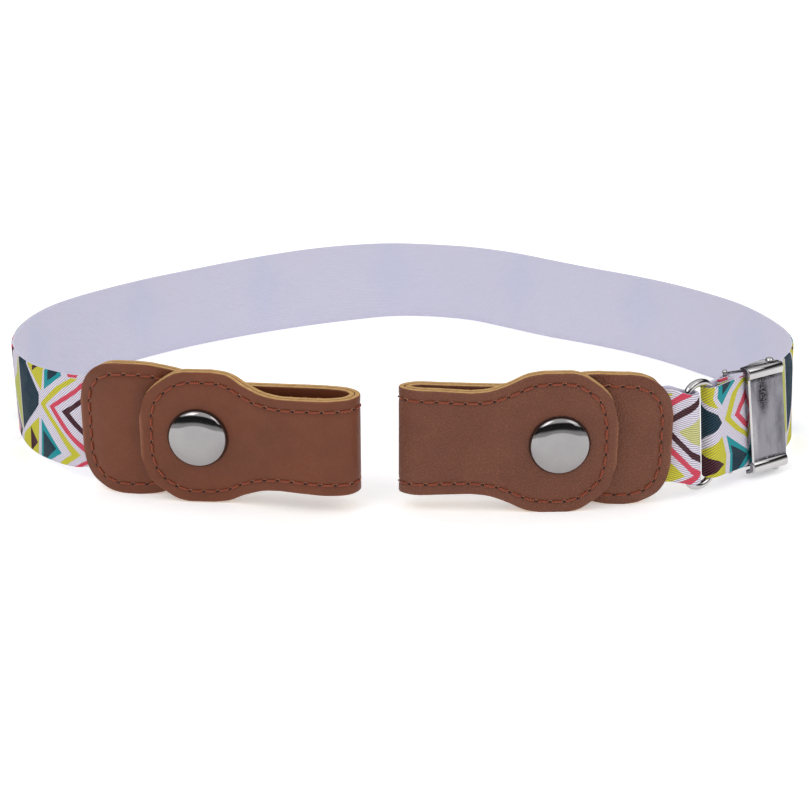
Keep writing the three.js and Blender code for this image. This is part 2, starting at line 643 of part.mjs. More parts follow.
// Lever: a plate with rounded edges and two flanges, and a toothed lip that holds the strap
function claspLever() {
  const angle = Math.atan2(LEVER.rightN - LEVER.leftN, LEVER.rightS - LEVER.leftS);
  const channel = (shrink) => {
    const half = LEVER.halfHeight - shrink;
    const radius = LEVER.bend - shrink;
    const deep = LEVER.flange + (shrink ? 2 : 0);
    const shape = new THREE.Shape();
    shape.moveTo(deep, -half);
    shape.lineTo(shrink + radius, -half);
    shape.absarc(shrink + radius, -half + radius, radius, -Math.PI / 2, -Math.PI, true);
    shape.lineTo(shrink, half - radius);
    shape.absarc(shrink + radius, half - radius, radius, Math.PI, Math.PI / 2, true);
    shape.lineTo(deep, half);
    const length = 40;
    const geometry = new THREE.ExtrudeGeometry(shape, { depth: length, bevelEnabled: false, curveSegments: 8 });
    const turn = new THREE.Matrix4().makeBasis(
      new THREE.Vector3(0, 1, 0), new THREE.Vector3(0, 0, 1), new THREE.Vector3(1, 0, 0),
    );
    geometry.translate(0, 0, -length / 2).applyMatrix4(turn);
    return solid(geometry.rotateZ(-angle).translate(LEVER.leftS, -LEVER.leftN, 0));
  };
  const outline = [
    [LEVER.leftS, 9], [LEVER.leftS, -0.1], [LEVER.leftS + 0.5, -0.45], [-5.4, -0.45], [-3.6, -1.2],
    ...arcPoints(PIVOT.s, PIVOT.n, LEVER.endRadius, -110, 25, 12).filter(([s]) => s < LEVER.rightS + 0.4),
    [LEVER.rightS + 0.15, PIVOT.n + 1.2], [LEVER.rightS, 9],
  ];
  const shell = channel(0).subtract(channel(SHEET)).intersect(solid(sidePlate(outline, -16, 16)));
  const lip = [
    [1.25, 4], [1.25, 2.9], [1.1, 2.2], [0.75, 1.5], [0.3, 1.4], [0.45, 2.2], [0.55, 3], [0.55, 4],
  ].map(([s, n]) => [PIVOT.s + s, n]);
  let lever = shell.add(solid(sidePlate(lip, -TOOTH.halfHeight, TOOTH.halfHeight)));
  const count = Math.floor(2 * TOOTH.halfHeight / TOOTH.pitch);
  for (let i = 0; i < count; i += 1) {
    const z = (i - (count - 1) / 2) * TOOTH.pitch;
    const notch = new THREE.Shape([
      new THREE.Vector2(-TOOTH.pitch * TOOTH.share, TOOTH.base),
      new THREE.Vector2(TOOTH.pitch * TOOTH.share, TOOTH.base),
      new THREE.Vector2(0, TOOTH.root - TOOTH.depth),
    ]);
    const geometry = new THREE.ExtrudeGeometry(notch, { depth: TOOTH.cut, bevelEnabled: false });
    const turn = new THREE.Matrix4().makeBasis(
      new THREE.Vector3(0, 0, 1), new THREE.Vector3(0, 1, 0), new THREE.Vector3(-1, 0, 0),
    );
    lever = lever.subtract(solid(geometry.applyMatrix4(turn).translate(TOOTH.front, 0, z)));
  }
  return geometryOf(lever.subtract(solid(pivotCylinder(PIVOT.radius + PIVOT_CLEARANCE, -CLEAR, CLEAR))));
}

// Pivot rivet through a flange and its ear, with a low head outside
function claspRivet(end) {
  const outside = LEVER.halfHeight + PIVOT_CLEARANCE;
  const shank = solid(pivotCylinder(PIVOT.radius, PIVOT.inner, outside + 0.1));
  const head = solid(pivotCylinder(PIVOT.headRadius, outside, outside + PIVOT.headThick));
  const rivet = shank.add(head);
  return geometryOf(end > 0 ? rivet : rivet.mirror([0, 0, 1]));
}

addPiece('clasp_back', claspBack(), 'nickel', claspFrame);
addPiece('clasp_lever', claspLever(), 'nickel', claspFrame);
addPiece('clasp_rivet_top', claspRivet(1), 'nickel', claspFrame);
addPiece('clasp_rivet_bottom', claspRivet(-1), 'nickel', claspFrame);

const part = new THREE.Group();
belt.position.set(-FOOTPRINT_MIDDLE.x, -FOOTPRINT_MIDDLE.y, 0);
part.add(belt);

export default part;
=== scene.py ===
"""Looks of a buckle-free elastic belt that stands on its edge as an open oval.

A printed elastic strap runs round the back. It passes an adjuster clasp and an oval ring at the right,
and ends at each side of the front gap in a folded, stitched leather loop with a snap.
Lengths are millimetres in the layout's own axes, and TO_WORLD turns them into the frame's metres.
"""

import logging
import math
from collections.abc import Callable, Sequence
from dataclasses import dataclass, field
from enum import Enum
from functools import cache

import bmesh
import bpy
import numpy as np
from bmesh.types import BMesh, BMFace
from bpy.types import Material, Mesh, Node, NodeSocket, NodeTree, Object
from mathutils import Matrix, Vector


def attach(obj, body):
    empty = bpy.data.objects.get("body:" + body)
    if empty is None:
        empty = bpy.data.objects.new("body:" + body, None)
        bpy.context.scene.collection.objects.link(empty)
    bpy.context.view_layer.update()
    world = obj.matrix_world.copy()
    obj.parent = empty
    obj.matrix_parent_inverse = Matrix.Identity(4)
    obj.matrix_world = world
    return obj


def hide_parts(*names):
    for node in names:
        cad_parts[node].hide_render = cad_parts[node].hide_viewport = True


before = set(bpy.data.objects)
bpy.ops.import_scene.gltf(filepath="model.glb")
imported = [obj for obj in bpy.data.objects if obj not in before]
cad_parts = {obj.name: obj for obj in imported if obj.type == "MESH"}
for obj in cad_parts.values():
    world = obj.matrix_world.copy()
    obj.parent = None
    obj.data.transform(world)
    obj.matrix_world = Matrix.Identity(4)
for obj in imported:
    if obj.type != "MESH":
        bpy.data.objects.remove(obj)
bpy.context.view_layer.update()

MM = 0.001
LAYOUT_MIDDLE = Vector((-0.735, -81.168, 0.0))
TO_WORLD = Matrix.Scale(MM, 4) @ Matrix.Translation(-LAYOUT_MIDDLE)
UP = Vector((0, 0, 1))
JOIN_GAP = 1e-4
PLACE_MAP = "place_mm"
EDGE_MARK = "edge_share"
log = logging.getLogger("belt")

STRAP_WIDTH = 25.0
STRAP_WIDTH_HELD = 24.0
STRAP_THICK = 1.5
PLY_THICK = 1.2
PLY_GAP = 0.3
GAP = 0.3


class Slot(Enum):
    """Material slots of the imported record."""

    ELASTIC = "printed_elastic"
    LEATHER = "leather_face"
    LINING = "leather_lining"
    NICKEL = "polished_nickel"


class Body(Enum):
    """Bodies that the pieces ride on."""

    BELT = "belt"
    LEVER = "lever"


# Colour and node helpers

Colour = tuple[float, float, float, float]
Inputs = dict[int | str, object]
WHITE: Colour = (1.0, 1.0, 1.0, 1.0)
MIX_SHARE = 0
MIX_FIRST = 6
MIX_SECOND = 7
MIX_COLOUR = 2


def tone(code: str) -> Colour:
    """Turns a screen colour into the linear one that shaders take.

    Args:
        code: six hexadecimal digits, red first.

    Returns:
        The linear red, green and blue, and a full alpha.
    """
    parts = (int(code[i:i + 2], 16) / 255 for i in (0, 2, 4))
    red, green, blue = (c / 12.92 if c <= 0.04045 else ((c + 0.055) / 1.055) ** 2.4 for c in parts)
    return red, green, blue, 1.0


class NodeSketch:
    """Adds nodes to one tree and links them."""

    def __init__(self, tree: NodeTree) -> None:
        """Keeps the tree to draw in."""
        self.tree = tree

    def feed(self, node: Node, inputs: Inputs) -> None:
        """Links a node's inputs to other sockets, or sets their constants.

        Args:
            node: the node.
            inputs: a socket or a constant for each input, by name or number.
        """
        for key, value in inputs.items():
            if isinstance(value, NodeSocket):
                self.tree.links.new(value, node.inputs[key])
            else:
                node.inputs[key].default_value = value

    def node(self, kind: str, inputs: Inputs, **settings: object) -> Node:
        """Adds a shader node.

        Args:
            kind: its kind, without the words that all shader nodes begin with.
            inputs: a socket or a constant for each input, by name or number.
            settings: its properties.

        Returns:
            The node.
        """
        made = self.tree.nodes.new(f"ShaderNode{kind}")
        for name, value in settings.items():
            setattr(made, name, value)
        self.feed(made, inputs)
        return made

    def math(self, operation: str, *values: object) -> NodeSocket:
        """Returns the value of a Math node."""
        return self.node("Math", dict(enumerate(values)), operation=operation).outputs[0]

    def times(self, first: object, second: object) -> NodeSocket:
        """Returns one value times another."""
        return self.math("MULTIPLY", first, second)

    def mix(self, share: object, first: object, second: object, blend: str = "MIX") -> NodeSocket:
        """Mixes two colours by a share of the second one."""
        inputs = {MIX_SHARE: share, MIX_FIRST: first, MIX_SECOND: second}
        return self.node("Mix", inputs, data_type="RGBA", blend_type=blend).outputs[MIX_COLOUR]

    def ramp(self, value: object, stops: Sequence[tuple[float, Colour]]) -> NodeSocket:
        """Adds a colour ramp.

        Args:
            value: what it reads.
            stops: position and colour of each stop, in order.

        Returns:
            Its colour.
        """
        made = self.node("ValToRGB", {0: value})
        elements = made.color_ramp.elements
        for element, stop in zip(elements, (stops[0], stops[-1])):
            element.position, element.color = stop
        for position, colour in stops[1:-1]:
            elements.new(position).color = colour
        return made.outputs[0]

    def steps(self, value: object, low: float, high: float, to_low: float = 0.0, to_high: float = 1.0,
              smooth: bool = False) -> NodeSocket:
        """Maps a value from one range to another, without going past its ends.

        Args:
            value: the value.
            low: where the range begins.
            high: where it ends.
            to_low: what its beginning becomes.
            to_high: what its end becomes.
            smooth: whether the change starts and ends softly.

        Returns:
            The mapped value.
        """
        inputs = dict(enumerate((value, low, high, to_low, to_high)))
        kind = "SMOOTHSTEP" if smooth else "LINEAR"
        return self.node("MapRange", inputs, interpolation_type=kind).outputs[0]

    def noise(self, place: object, scale: float, detail: float = 2.0, rough: float = 0.5) -> NodeSocket:
        """Returns the value of a noise texture."""
        inputs = {"Vector": place, "Scale": scale, "Detail": detail, "Roughness": rough}
        return self.node("TexNoise", inputs).outputs["Fac"]

    def bump(self, height: NodeSocket, depth: float, strength: float = 1.0) -> NodeSocket:
        """Returns the normal of a height from 0 to 1, where 1 stands for a depth in millimetres."""
        return self.node("Bump", {"Strength": strength, "Distance": depth * MM, "Height": height}).outputs[0]

    def parts(self, place: NodeSocket) -> tuple[NodeSocket, ...]:
        """Returns the x, y and z of a place."""
        return tuple(self.node("SeparateXYZ", {0: place}).outputs)

    def group(self, tree: NodeTree, **inputs: object) -> bpy.types.NodeOutputs:
        """Places a node group, with underscores for spaces in its inputs' names, and returns its outputs."""
        named = {name.replace("_", " "): value for name, value in inputs.items()}
        return self.node("Group", named, node_tree=tree).outputs

    def object_place(self) -> NodeSocket:
        """Returns the piece's own coordinates in metres."""
        return self.node("TexCoord", {}).outputs["Object"]

    def strap_place(self) -> NodeSocket:
        """Returns the place along and across a strap in millimetres."""
        return self.node("UVMap", {}, uv_map=PLACE_MAP).outputs[0]


class GroupSketch(NodeSketch):
    """A sketch in a new shader node group, whose first input is a place."""

    def __init__(self, name: str, **numbers: float) -> None:
        """Makes the group and its inputs.

        Args:
            name: the group's name.
            numbers: the standing values of its other inputs, with underscores for spaces in their names.
        """
        super().__init__(bpy.data.node_groups.new(name, "ShaderNodeTree"))
        add = self.tree.interface.new_socket
        add(name="Place", in_out="INPUT", socket_type="NodeSocketVector")
        for label, value in numbers.items():
            made = add(name=label.replace("_", " "), in_out="INPUT", socket_type="NodeSocketFloat")
            made.default_value = value
        self.given = self.tree.nodes.new("NodeGroupInput").outputs[:len(numbers) + 1]

    def finished(self, **outputs: NodeSocket) -> NodeTree:
        """Adds the outputs and feeds them.

        Args:
            outputs: what each output puts out. The one named Colour is a colour, the others are numbers.

        Returns:
            The group.
        """
        for label in outputs:
            kind = "Color" if label == "Colour" else "Float"
            self.tree.interface.new_socket(name=label, in_out="OUTPUT", socket_type=f"NodeSocket{kind}")
        self.feed(self.tree.nodes.new("NodeGroupOutput"), outputs)
        return self.tree


class MaterialSketch(NodeSketch):
    """A sketch in a new material with one Principled shader."""

    def __init__(self, name: str) -> None:
        """Makes the material.

        Args:
            name: its name.
        """
        self.material = bpy.data.materials.new(name)
        self.material.use_nodes = True
        super().__init__(self.material.node_tree)

    def finished(self, inputs: Inputs) -> Material:
        """Feeds the shader and returns the material."""
        self.feed(self.tree.nodes["Principled BSDF"], inputs)
        return self.material


@cache
def grain_group() -> NodeTree:
    """Pebbled leather grain: raised cells with fine pores between them.

    Returns:
        The group.
    """
    sketch = GroupSketch("leather_grain", Cells=1300.0)
    place, cells = sketch.given
    drift = sketch.node("TexNoise", {"Vector": place, "Scale": 420.0}).outputs["Color"]
    bend = {0: drift, 1: (0.0006, 0.0006, 0.0006), 2: place}
    bent = sketch.node("VectorMath", bend, operation="MULTIPLY_ADD").outputs[0]
    pebble = sketch.node("TexVoronoi", {"Vector": bent, "Scale": cells}, feature="F1").outputs["Distance"]
    dome = sketch.steps(pebble, 0.0, 0.75, 1.0, 0.0, smooth=True)
    pores = sketch.noise(place, 5200.0, 1.0)
    height = sketch.math("MULTIPLY_ADD", pores, 0.35, sketch.times(dome, 0.65))
    return sketch.finished(Height=height, Patch=sketch.noise(place, 95.0, 3.0, 0.6))


@cache
def rib_group() -> NodeTree:
    """Slanting ribs of a narrow woven elastic, as a height and as a mask of the lines between them.

    Returns:
        The group.
    """
    sketch = GroupSketch("elastic_ribs", Pitch=0.56, Slant=math.radians(36))
    place, pitch, slant = sketch.given
    along, across, _ = sketch.parts(place)
    sine, cosine = sketch.math("SINE", slant), sketch.math("COSINE", slant)
    over = sketch.math("MULTIPLY_ADD", along, sine, sketch.times(across, cosine))
    down = sketch.math("SUBTRACT", sketch.times(across, sine), sketch.times(along, cosine))
    turns = sketch.math("DIVIDE", sketch.times(over, math.tau), pitch)
    rib = sketch.math("MULTIPLY_ADD", sketch.math("SINE", turns), 0.5, 0.5)
    loop_length = 0.9
    loop_turns = sketch.math("MULTIPLY_ADD", down, math.tau / loop_length, sketch.times(turns, 0.5))
    loops = sketch.math("MULTIPLY_ADD", sketch.math("SINE", loop_turns), 0.15, 0.15)
    height = sketch.math("ADD", sketch.times(rib, 0.7), loops)
    return sketch.finished(Height=height, Lines=sketch.steps(rib, 0.45, 0.05, smooth=True))


@cache
def wear_group() -> NodeTree:
    """Uneven rubbing: fine scratches and soft cloudy patches, each from 0 to 1.

    Returns:
        The group.
    """
    sketch = GroupSketch("handling_wear", Patch_Size=180.0)
    place, size = sketch.given
    clouds = sketch.noise(place, size, 4.0, 0.62)
    stretch = {"Vector": place, "Rotation": (0.3, 0.5, 0.9), "Scale": (6.0, 0.4, 1.0)}
    lines = sketch.noise(sketch.node("Mapping", stretch).outputs[0], 900.0, 2.0, 0.7)
    return sketch.finished(Clouds=sketch.steps(clouds, 0.35, 0.7, smooth=True),
                           Scratches=sketch.steps(lines, 0.66, 0.74, smooth=True))


# Print on the elastic. Each shape is a list of rows across the strap, from its upper edge down:
# height across the strap, then where the shape begins and ends along it.

class Ink(Enum):
    """Print colours."""

    LIME = "c3c865"
    PALE_LIME = "d2d089"
    TEAL = "02303f"
    YELLOW = "d2cc30"
    TURQUOISE = "009aa2"
    RED = "de445c"
    MAROON = "3e0714"


@dataclass(frozen=True)
class PrintShape:
    """One printed shape of the repeat."""

    ink: Ink
    rows: tuple[tuple[float, float, float], ...]


CLOTH = "e0dae8"
TILE_LENGTH = 44.8
TILE_START = 40.5
TILE_REACH = 32.0
HALF_SPAN = 13.0
SLIP = 3.0
SLIP_START = 409.0
SLIP_END = 424.0
TILE_SEAM = ((13.0, -16.4), (7.0, -20.8), (2.0, -29.2), (-8.8, -16.6), (-13.0, -18.5))
TILE_SHAPES = (
    PrintShape(Ink.LIME, ((13.0, -15.9, -15.8), (7.0, -18.9, -15.8), (2.0, -26.2, -15.8),
                          (-8.8, -15.9, -15.8))),
    PrintShape(Ink.TEAL, ((13.0, -15.3, -9.8), (10.4, -15.3, -6.9), (5.3, -15.3, -1.2), (4.7, -15.3, -1.0),
                          (1.9, -15.3, -1.5), (0.2, -15.3, -3.6), (-8.2, -15.3, -15.2))),
    PrintShape(Ink.YELLOW, ((13.0, -8.9, 2.2), (6.4, 0.3, 0.6))),
    PrintShape(Ink.MAROON, ((13.0, -4.7, -0.8), (10.9, -4.7, -4.6))),
    PrintShape(Ink.YELLOW, ((-1.5, -1.7, -1.5), (-9.5, -15.1, -2.6), (-13.0, -17.2, -3.0))),
    PrintShape(Ink.MAROON, ((-5.4, -8.1, -8.0), (-9.0, -8.5, -3.1), (-12.4, -8.8, -8.2))),
    PrintShape(Ink.TURQUOISE, ((13.0, 2.8, 9.8), (11.8, 2.7, 10.9), (6.9, 2.2, 2.4))),
    PrintShape(Ink.TEAL, ((12.6, 4.5, 9.0), (11.8, 4.4, 8.7), (9.6, 4.2, 4.4))),
    PrintShape(Ink.TURQUOISE, ((-1.6, 0.0, 0.1), (-9.4, -0.7, 10.3), (-13.0, -1.3, 3.2))),
    PrintShape(Ink.TEAL, ((-4.7, 0.8, 1.0), (-8.7, 0.5, 7.7), (-12.6, 0.1, 1.8))),
    PrintShape(Ink.YELLOW, ((11.6, 14.6, 17.6), (8.2, 7.8, 10.8), (2.8, 0.0, 2.9), (2.3, 0.0, 2.9),
                            (-3.4, 8.0, 10.5), (-9.1, 14.2, 17.4), (-13.0, 8.0, 11.0))),
    PrintShape(Ink.RED, ((13.0, 12.6, 17.8), (11.8, 13.6, 17.3))),
    PrintShape(Ink.RED, ((13.0, 22.8, 25.4), (11.4, 20.9, 23.7), (2.7, 4.8, 7.4), (-3.4, 12.0, 14.4),
                         (-9.9, 20.9, 23.6), (-13.0, 13.6, 16.4))),
    PrintShape(Ink.MAROON, ((13.0, 24.8, 27.6), (6.7, 19.3, 22.2), (2.2, 10.6, 13.8), (-3.2, 18.0, 20.2),
                            (-9.2, 25.0, 27.6), (-13.0, 20.5, 23.4))),
)

SHORT_FOLD = 22.8
SHORT_SHAPES = (
    PrintShape(Ink.PALE_LIME, ((6.3, 22.9, 23.2), (1.6, 16.3, 23.2), (-2.6, 22.9, 23.2))),
    PrintShape(Ink.YELLOW, ((11.2, 11.2, 14.4), (3.2, -0.8, 2.4), (-7.0, 11.0, 14.4), (-9.8, 14.2, 17.8),
                            (-13.0, 10.4, 13.8))),
    PrintShape(Ink.RED, ((13.0, 19.2, 22.0), (3.2, 4.3, 7.0), (-9.2, 20.1, 22.6), (-13.0, 14.8, 17.6))),
    PrintShape(Ink.MAROON, ((13.0, 24.7, 27.4), (2.4, 10.4, 13.0), (-9.2, 25.6, 28.1))),
)

# In every other repeat the arms lean. These are the places between which the lean comes in, and its ends.
UPPER_LEAN = (2.4, 9.0, 0.0, 5.3)
LOWER_LEAN = (-1.0, -7.0, 0.0, -2.3)
LEAN_BEGINS = (-15.0, -4.0)
LOWER_ENDS = (22.0, 10.0)
BLUNT_REACH = (-15.0, 0.0, 0.0, math.pi)
BLUNTNESS = 1.3


def share_of_span(across: float) -> float:
    """Turns a height across the strap into a share of the print's span."""
    return (across + HALF_SPAN) / (2 * HALF_SPAN)


def share_of_reach(along: float) -> float:
    """Turns a place along the repeat into a share of its reach."""
    return (along + TILE_REACH) / (2 * TILE_REACH)


def paint(sketch: NodeSketch, along: NodeSocket, height: NodeSocket,
          shapes: Sequence[PrintShape]) -> NodeSocket | Colour:
    """Paints shapes over the cloth.

    Args:
        sketch: the print's sketch.
        along: the place along the repeat, in millimetres.
        height: the share of the print's span.
        shapes: the shapes, the last one on top.

    Returns:
        The colour with the shapes on it.
    """
    reach = sketch.math("MULTIPLY_ADD", along, 0.5 / TILE_REACH, 0.5)
    colour = tone(CLOTH)
    for shape in shapes:
        rows = list(reversed(shape.rows))
        stops = [(share_of_span(v), (share_of_reach(a), share_of_reach(b), 0.0, 1.0)) for v, a, b in rows]
        limits = sketch.node("SeparateColor", {0: sketch.ramp(height, stops)}).outputs
        begun = sketch.math("GREATER_THAN", reach, limits[0])
        mask = sketch.times(begun, sketch.math("LESS_THAN", reach, limits[1]))
        if rows[0][0] > -HALF_SPAN:
            mask = sketch.times(mask, sketch.math("GREATER_THAN", height, stops[0][0]))
        if rows[-1][0] < HALF_SPAN:
            mask = sketch.times(mask, sketch.math("LESS_THAN", height, stops[-1][0]))
        colour = sketch.mix(mask, colour, tone(shape.ink.value))
    return colour


@cache
def short_print_group() -> NodeTree:
    """Zigzags of the short strap, the same on both its layers.

    Returns:
        The group.
    """
    sketch = GroupSketch("short_strap_print")
    along, across, _ = sketch.parts(sketch.given[0])
    height = sketch.steps(across, -HALF_SPAN, HALF_SPAN)
    folded = sketch.math("PINGPONG", along, SHORT_FOLD)
    return sketch.finished(Colour=paint(sketch, folded, height, SHORT_SHAPES))


@cache
def print_group() -> NodeTree:
    """Zigzags, triangles and half diamonds of the print, repeated along the strap.

    The repeat gains a slip on its way to the clasp and gives it back just before. The seam between two
    repeats follows the zigzags. In every other repeat the arms lean.

    Returns:
        The group.
    """
    sketch = GroupSketch("zigzag_print")
    printed, across, _ = sketch.parts(sketch.given[0])
    gained = sketch.math("ADD", printed, sketch.steps(printed, 0.0, SLIP_START, 0.0, SLIP))
    along = sketch.math("SUBTRACT", gained, sketch.steps(printed, SLIP_START, SLIP_END, 0.0, SLIP))
    height = sketch.steps(across, -HALF_SPAN, HALF_SPAN)
    seam_stops = [(share_of_span(v), (share_of_reach(t),) * 3 + (1.0,)) for v, t in reversed(TILE_SEAM)]
    seam = sketch.math("MULTIPLY_ADD", sketch.ramp(height, seam_stops), 2 * TILE_REACH, -TILE_REACH)
    past_seam = sketch.math("SUBTRACT", sketch.math("SUBTRACT", TILE_START, along), seam)
    tiles = sketch.math("DIVIDE", past_seam, TILE_LENGTH)
    number = sketch.math("FLOOR", tiles)
    inside = sketch.times(sketch.math("SUBTRACT", tiles, number), TILE_LENGTH)
    place_in_tile = sketch.math("ADD", inside, seam)
    upper = sketch.steps(across, *UPPER_LEAN)
    lower = sketch.times(sketch.steps(across, *LOWER_LEAN), sketch.steps(place_in_tile, *LOWER_ENDS))
    arms = sketch.times(sketch.math("ADD", upper, lower), sketch.steps(place_in_tile, *LEAN_BEGINS))
    blunt = sketch.math("SINE", sketch.steps(place_in_tile, *BLUNT_REACH))
    lean = sketch.math("MULTIPLY_ADD", blunt, BLUNTNESS, arms)
    leaning = sketch.math("MULTIPLY_ADD", sketch.math("PINGPONG", number, 1.0), lean, place_in_tile)
    return sketch.finished(Colour=paint(sketch, leaning, height, TILE_SHAPES))


# Patches of the ghost: their middle and half length along the repeat and across the strap, and their fade.
GHOST_MIDDLE = (36.0, 3.0)
GHOST_REACH = (11.0, 17.0)
GHOST_FADE = (1.15, 0.25)


@cache
def ghost_group() -> NodeTree:
    """Soft patches where the dark ink shows through to the inner face.

    Returns:
        The group.
    """
    sketch = GroupSketch("print_ghost")
    along, across, _ = sketch.parts(sketch.given[0])
    turns = sketch.math("DIVIDE", sketch.math("SUBTRACT", TILE_START, along), TILE_LENGTH)
    inside = sketch.times(sketch.math("FRACT", turns), TILE_LENGTH)
    away = []
    for place, middle, reach in zip((inside, across), GHOST_MIDDLE, GHOST_REACH):
        off = sketch.math("ABSOLUTE", sketch.math("SUBTRACT", place, middle))
        away.append(sketch.math("DIVIDE", off, reach))
    return sketch.finished(Patch=sketch.steps(sketch.math("ADD", *away), *GHOST_FADE, smooth=True))


# Finishes

Ground = Callable[[NodeSketch, NodeSocket], NodeSocket]
BACK_CLOTH = "c7c5d6"
GHOST = "aebbdc"
GHOST_SHARE = 0.2


def printed_ground(printed: Callable[[], NodeTree]) -> Ground:
    """Returns the ground of an outer face: the cloth with a print on it."""
    return lambda sketch, place: sketch.group(printed(), Place=place)["Colour"]


def ghost_ground(sketch: NodeSketch, place: NodeSocket) -> NodeSocket:
    """Returns the ground of an inner face: pale cloth where the print shows through faintly."""
    patch = sketch.group(ghost_group(), Place=place)["Patch"]
    return sketch.mix(sketch.times(patch, GHOST_SHARE), tone(BACK_CLOTH), tone(GHOST))


@dataclass(frozen=True)
class Elastic:
    """A face of the elastic: slanting ribs with painted groove shade, over its ground. The standing values
    are a printed face's.
    """

    name: str
    slant: float
    ground: Ground
    pitch: float = 0.56
    groove_shade_colour: str = "726e7c"
    groove_shade_share: float = 0.8
    thread: str = "a29fac"
    thread_share: float = 0.17
    patch_size: float = 150.0
    soil: str = "b9b2a8"
    soil_share: float = 0.05
    roughness: tuple[float, float] = (0.8, 0.91)
    gloss: float = 0.04
    sheen: float = 0.0
    rib_depth: float = 0.2
    rib_strength: float = 0.7

    def build(self) -> Material:
        """Makes the material.

        Returns:
            The material.
        """
        sketch = MaterialSketch(self.name)
        place = sketch.strap_place()
        ribs = sketch.group(rib_group(), Place=place, Pitch=self.pitch, Slant=math.radians(self.slant))
        clouds = sketch.group(wear_group(), Place=sketch.object_place(), Patch_Size=self.patch_size)["Clouds"]
        # Painted shade: a grey multiplied into the grooves between the ribs.
        lines = sketch.times(ribs["Lines"], self.groove_shade_share)
        shaded = sketch.mix(lines, self.ground(sketch, place), tone(self.groove_shade_colour), "MULTIPLY")
        ribbed = sketch.mix(sketch.times(ribs["Lines"], self.thread_share), shaded, tone(self.thread))
        return sketch.finished({
            "Base Color": sketch.mix(sketch.times(clouds, self.soil_share), ribbed, tone(self.soil)),
            "Roughness": sketch.steps(clouds, 0.0, 1.0, *self.roughness),
            "Sheen Weight": self.sheen,
            "Specular IOR Level": self.gloss,
            "Normal": sketch.bump(ribs["Height"], self.rib_depth, self.rib_strength),
        })


PLAIN_BACK = Elastic("plain_elastic_back", 4.0, ghost_ground, pitch=0.5, groove_shade_share=0.0, thread="9c98b0",
                     thread_share=0.08, patch_size=60.0, soil="bfc4e0", soil_share=0.12,
                     roughness=(0.82, 0.92), gloss=0.2, sheen=0.2, rib_depth=0.07, rib_strength=0.6)


@dataclass(frozen=True)
class Leather:
    """Brown leather with pebbled grain, paler where its edges are rubbed."""

    name: str
    brown: str = "6e3920"
    dark: str = "66351d"
    pit: str = "4a2519"
    rubbed: str = "96644a"
    grain_depth: float = 0.09
    pit_share: float = 0.14
    cells: float = 1300.0
    roughness: float = 0.45
    gloss: float = 0.33

    def build(self) -> Material:
        """Makes the material.

        Returns:
            The material.
        """
        sketch = MaterialSketch(self.name)
        place = sketch.object_place()
        grain = sketch.group(grain_group(), Place=place, Cells=self.cells)
        clouds = sketch.group(wear_group(), Place=place, Patch_Size=240.0)["Clouds"]
        edge = sketch.node("Attribute", {}, attribute_name=EDGE_MARK).outputs["Fac"]
        patches = sketch.steps(grain["Patch"], 0.35, 0.68, smooth=True)
        base = sketch.mix(patches, tone(self.brown), tone(self.dark))
        pits = sketch.steps(grain["Height"], 0.25, 0.6, self.pit_share, 0.0)
        grained = sketch.mix(pits, base, tone(self.pit))
        rub = sketch.times(edge, sketch.steps(clouds, 0.0, 1.0, 0.15, 0.75))
        return sketch.finished({
            "Base Color": sketch.mix(rub, grained, tone(self.rubbed)),
            "Roughness": sketch.math("MULTIPLY_ADD", clouds, 0.1, self.roughness),
            "Specular IOR Level": self.gloss,
            "Normal": sketch.bump(grain["Height"], self.grain_depth, 0.75),
        })


@dataclass(frozen=True)
class CutEdge:
    """Raw cut edge of the leather: tan fibres in uneven layers."""

    name: str = "leather_cut_edge"
    tan: str = "cda468"
    shade: str = "a57b45"
    fibre_depth: float = 0.12

    def build(self) -> Material:
        """Makes the material.

        Returns:
            The material.
        """
        sketch = MaterialSketch(self.name)
        place = sketch.object_place()
        clouds = sketch.group(wear_group(), Place=place, Patch_Size=700.0)["Clouds"]
        fibres = sketch.noise(place, 3800.0, 3.0, 0.7)
        layers = sketch.times(sketch.math("ADD", clouds, fibres), 0.5)
        return sketch.finished({
            "Base Color": sketch.mix(layers, tone(self.tan), tone(self.shade)),
            "Roughness": sketch.steps(fibres, 0.3, 0.7, 0.75, 0.95),
            "Normal": sketch.bump(fibres, self.fibre_depth),
        })


@dataclass(frozen=True)
class Thread:
    """Twisted rust-coloured sewing thread."""

    name: str = "sewing_thread"
    colour: str = "9c4829"
    dark: str = "6c2e1a"
    twist_angle: float = 35.0
    twist_scale: float = 620.0
    strand_depth: float = 0.08

    def build(self) -> Material:
        """Makes the material.

        Returns:
            The material.
        """
        sketch = MaterialSketch(self.name)
        turn = {"Vector": sketch.object_place(), "Rotation": (0.0, math.radians(self.twist_angle), 0.0)}
        turned = sketch.node("Mapping", turn).outputs[0]
        waves = {"Vector": turned, "Scale": self.twist_scale, "Distortion": 1.5, "Detail": 1.0}
        twist = sketch.node("TexWave", waves, wave_type="BANDS", bands_direction="X").outputs["Fac"]
        return sketch.finished({
            "Base Color": sketch.mix(twist, tone(self.dark), tone(self.colour)),
            "Roughness": sketch.steps(twist, 0.0, 1.0, 0.75, 0.55),
            "Normal": sketch.bump(twist, self.strand_depth),
        })


@dataclass(frozen=True)
class PaintedHoleShade:
    """Painted shade: the dark inside of a needle hole, also the ring round each snap cap."""

    name: str = "needle_hole"
    dark: str = "1c0a06"
    light: str = "341710"

    def build(self) -> Material:
        """Makes the material.

        Returns:
            The material.
        """
        sketch = MaterialSketch(self.name)
        specks = sketch.noise(sketch.object_place(), 4000.0)
        return sketch.finished({
            "Base Color": sketch.mix(specks, tone(self.dark), tone(self.light)),
            "Roughness": sketch.steps(specks, 0.0, 1.0, 0.8, 1.0),
        })


@dataclass(frozen=True)
class PaintedBand:
    """A band of painted light on the clasp's lever, in the clasp's own axes: reflection, highlight and crease
    shade.
    """

    s: float
    up: float
    half_width: float
    half_length: float
    colour: str
    share: float


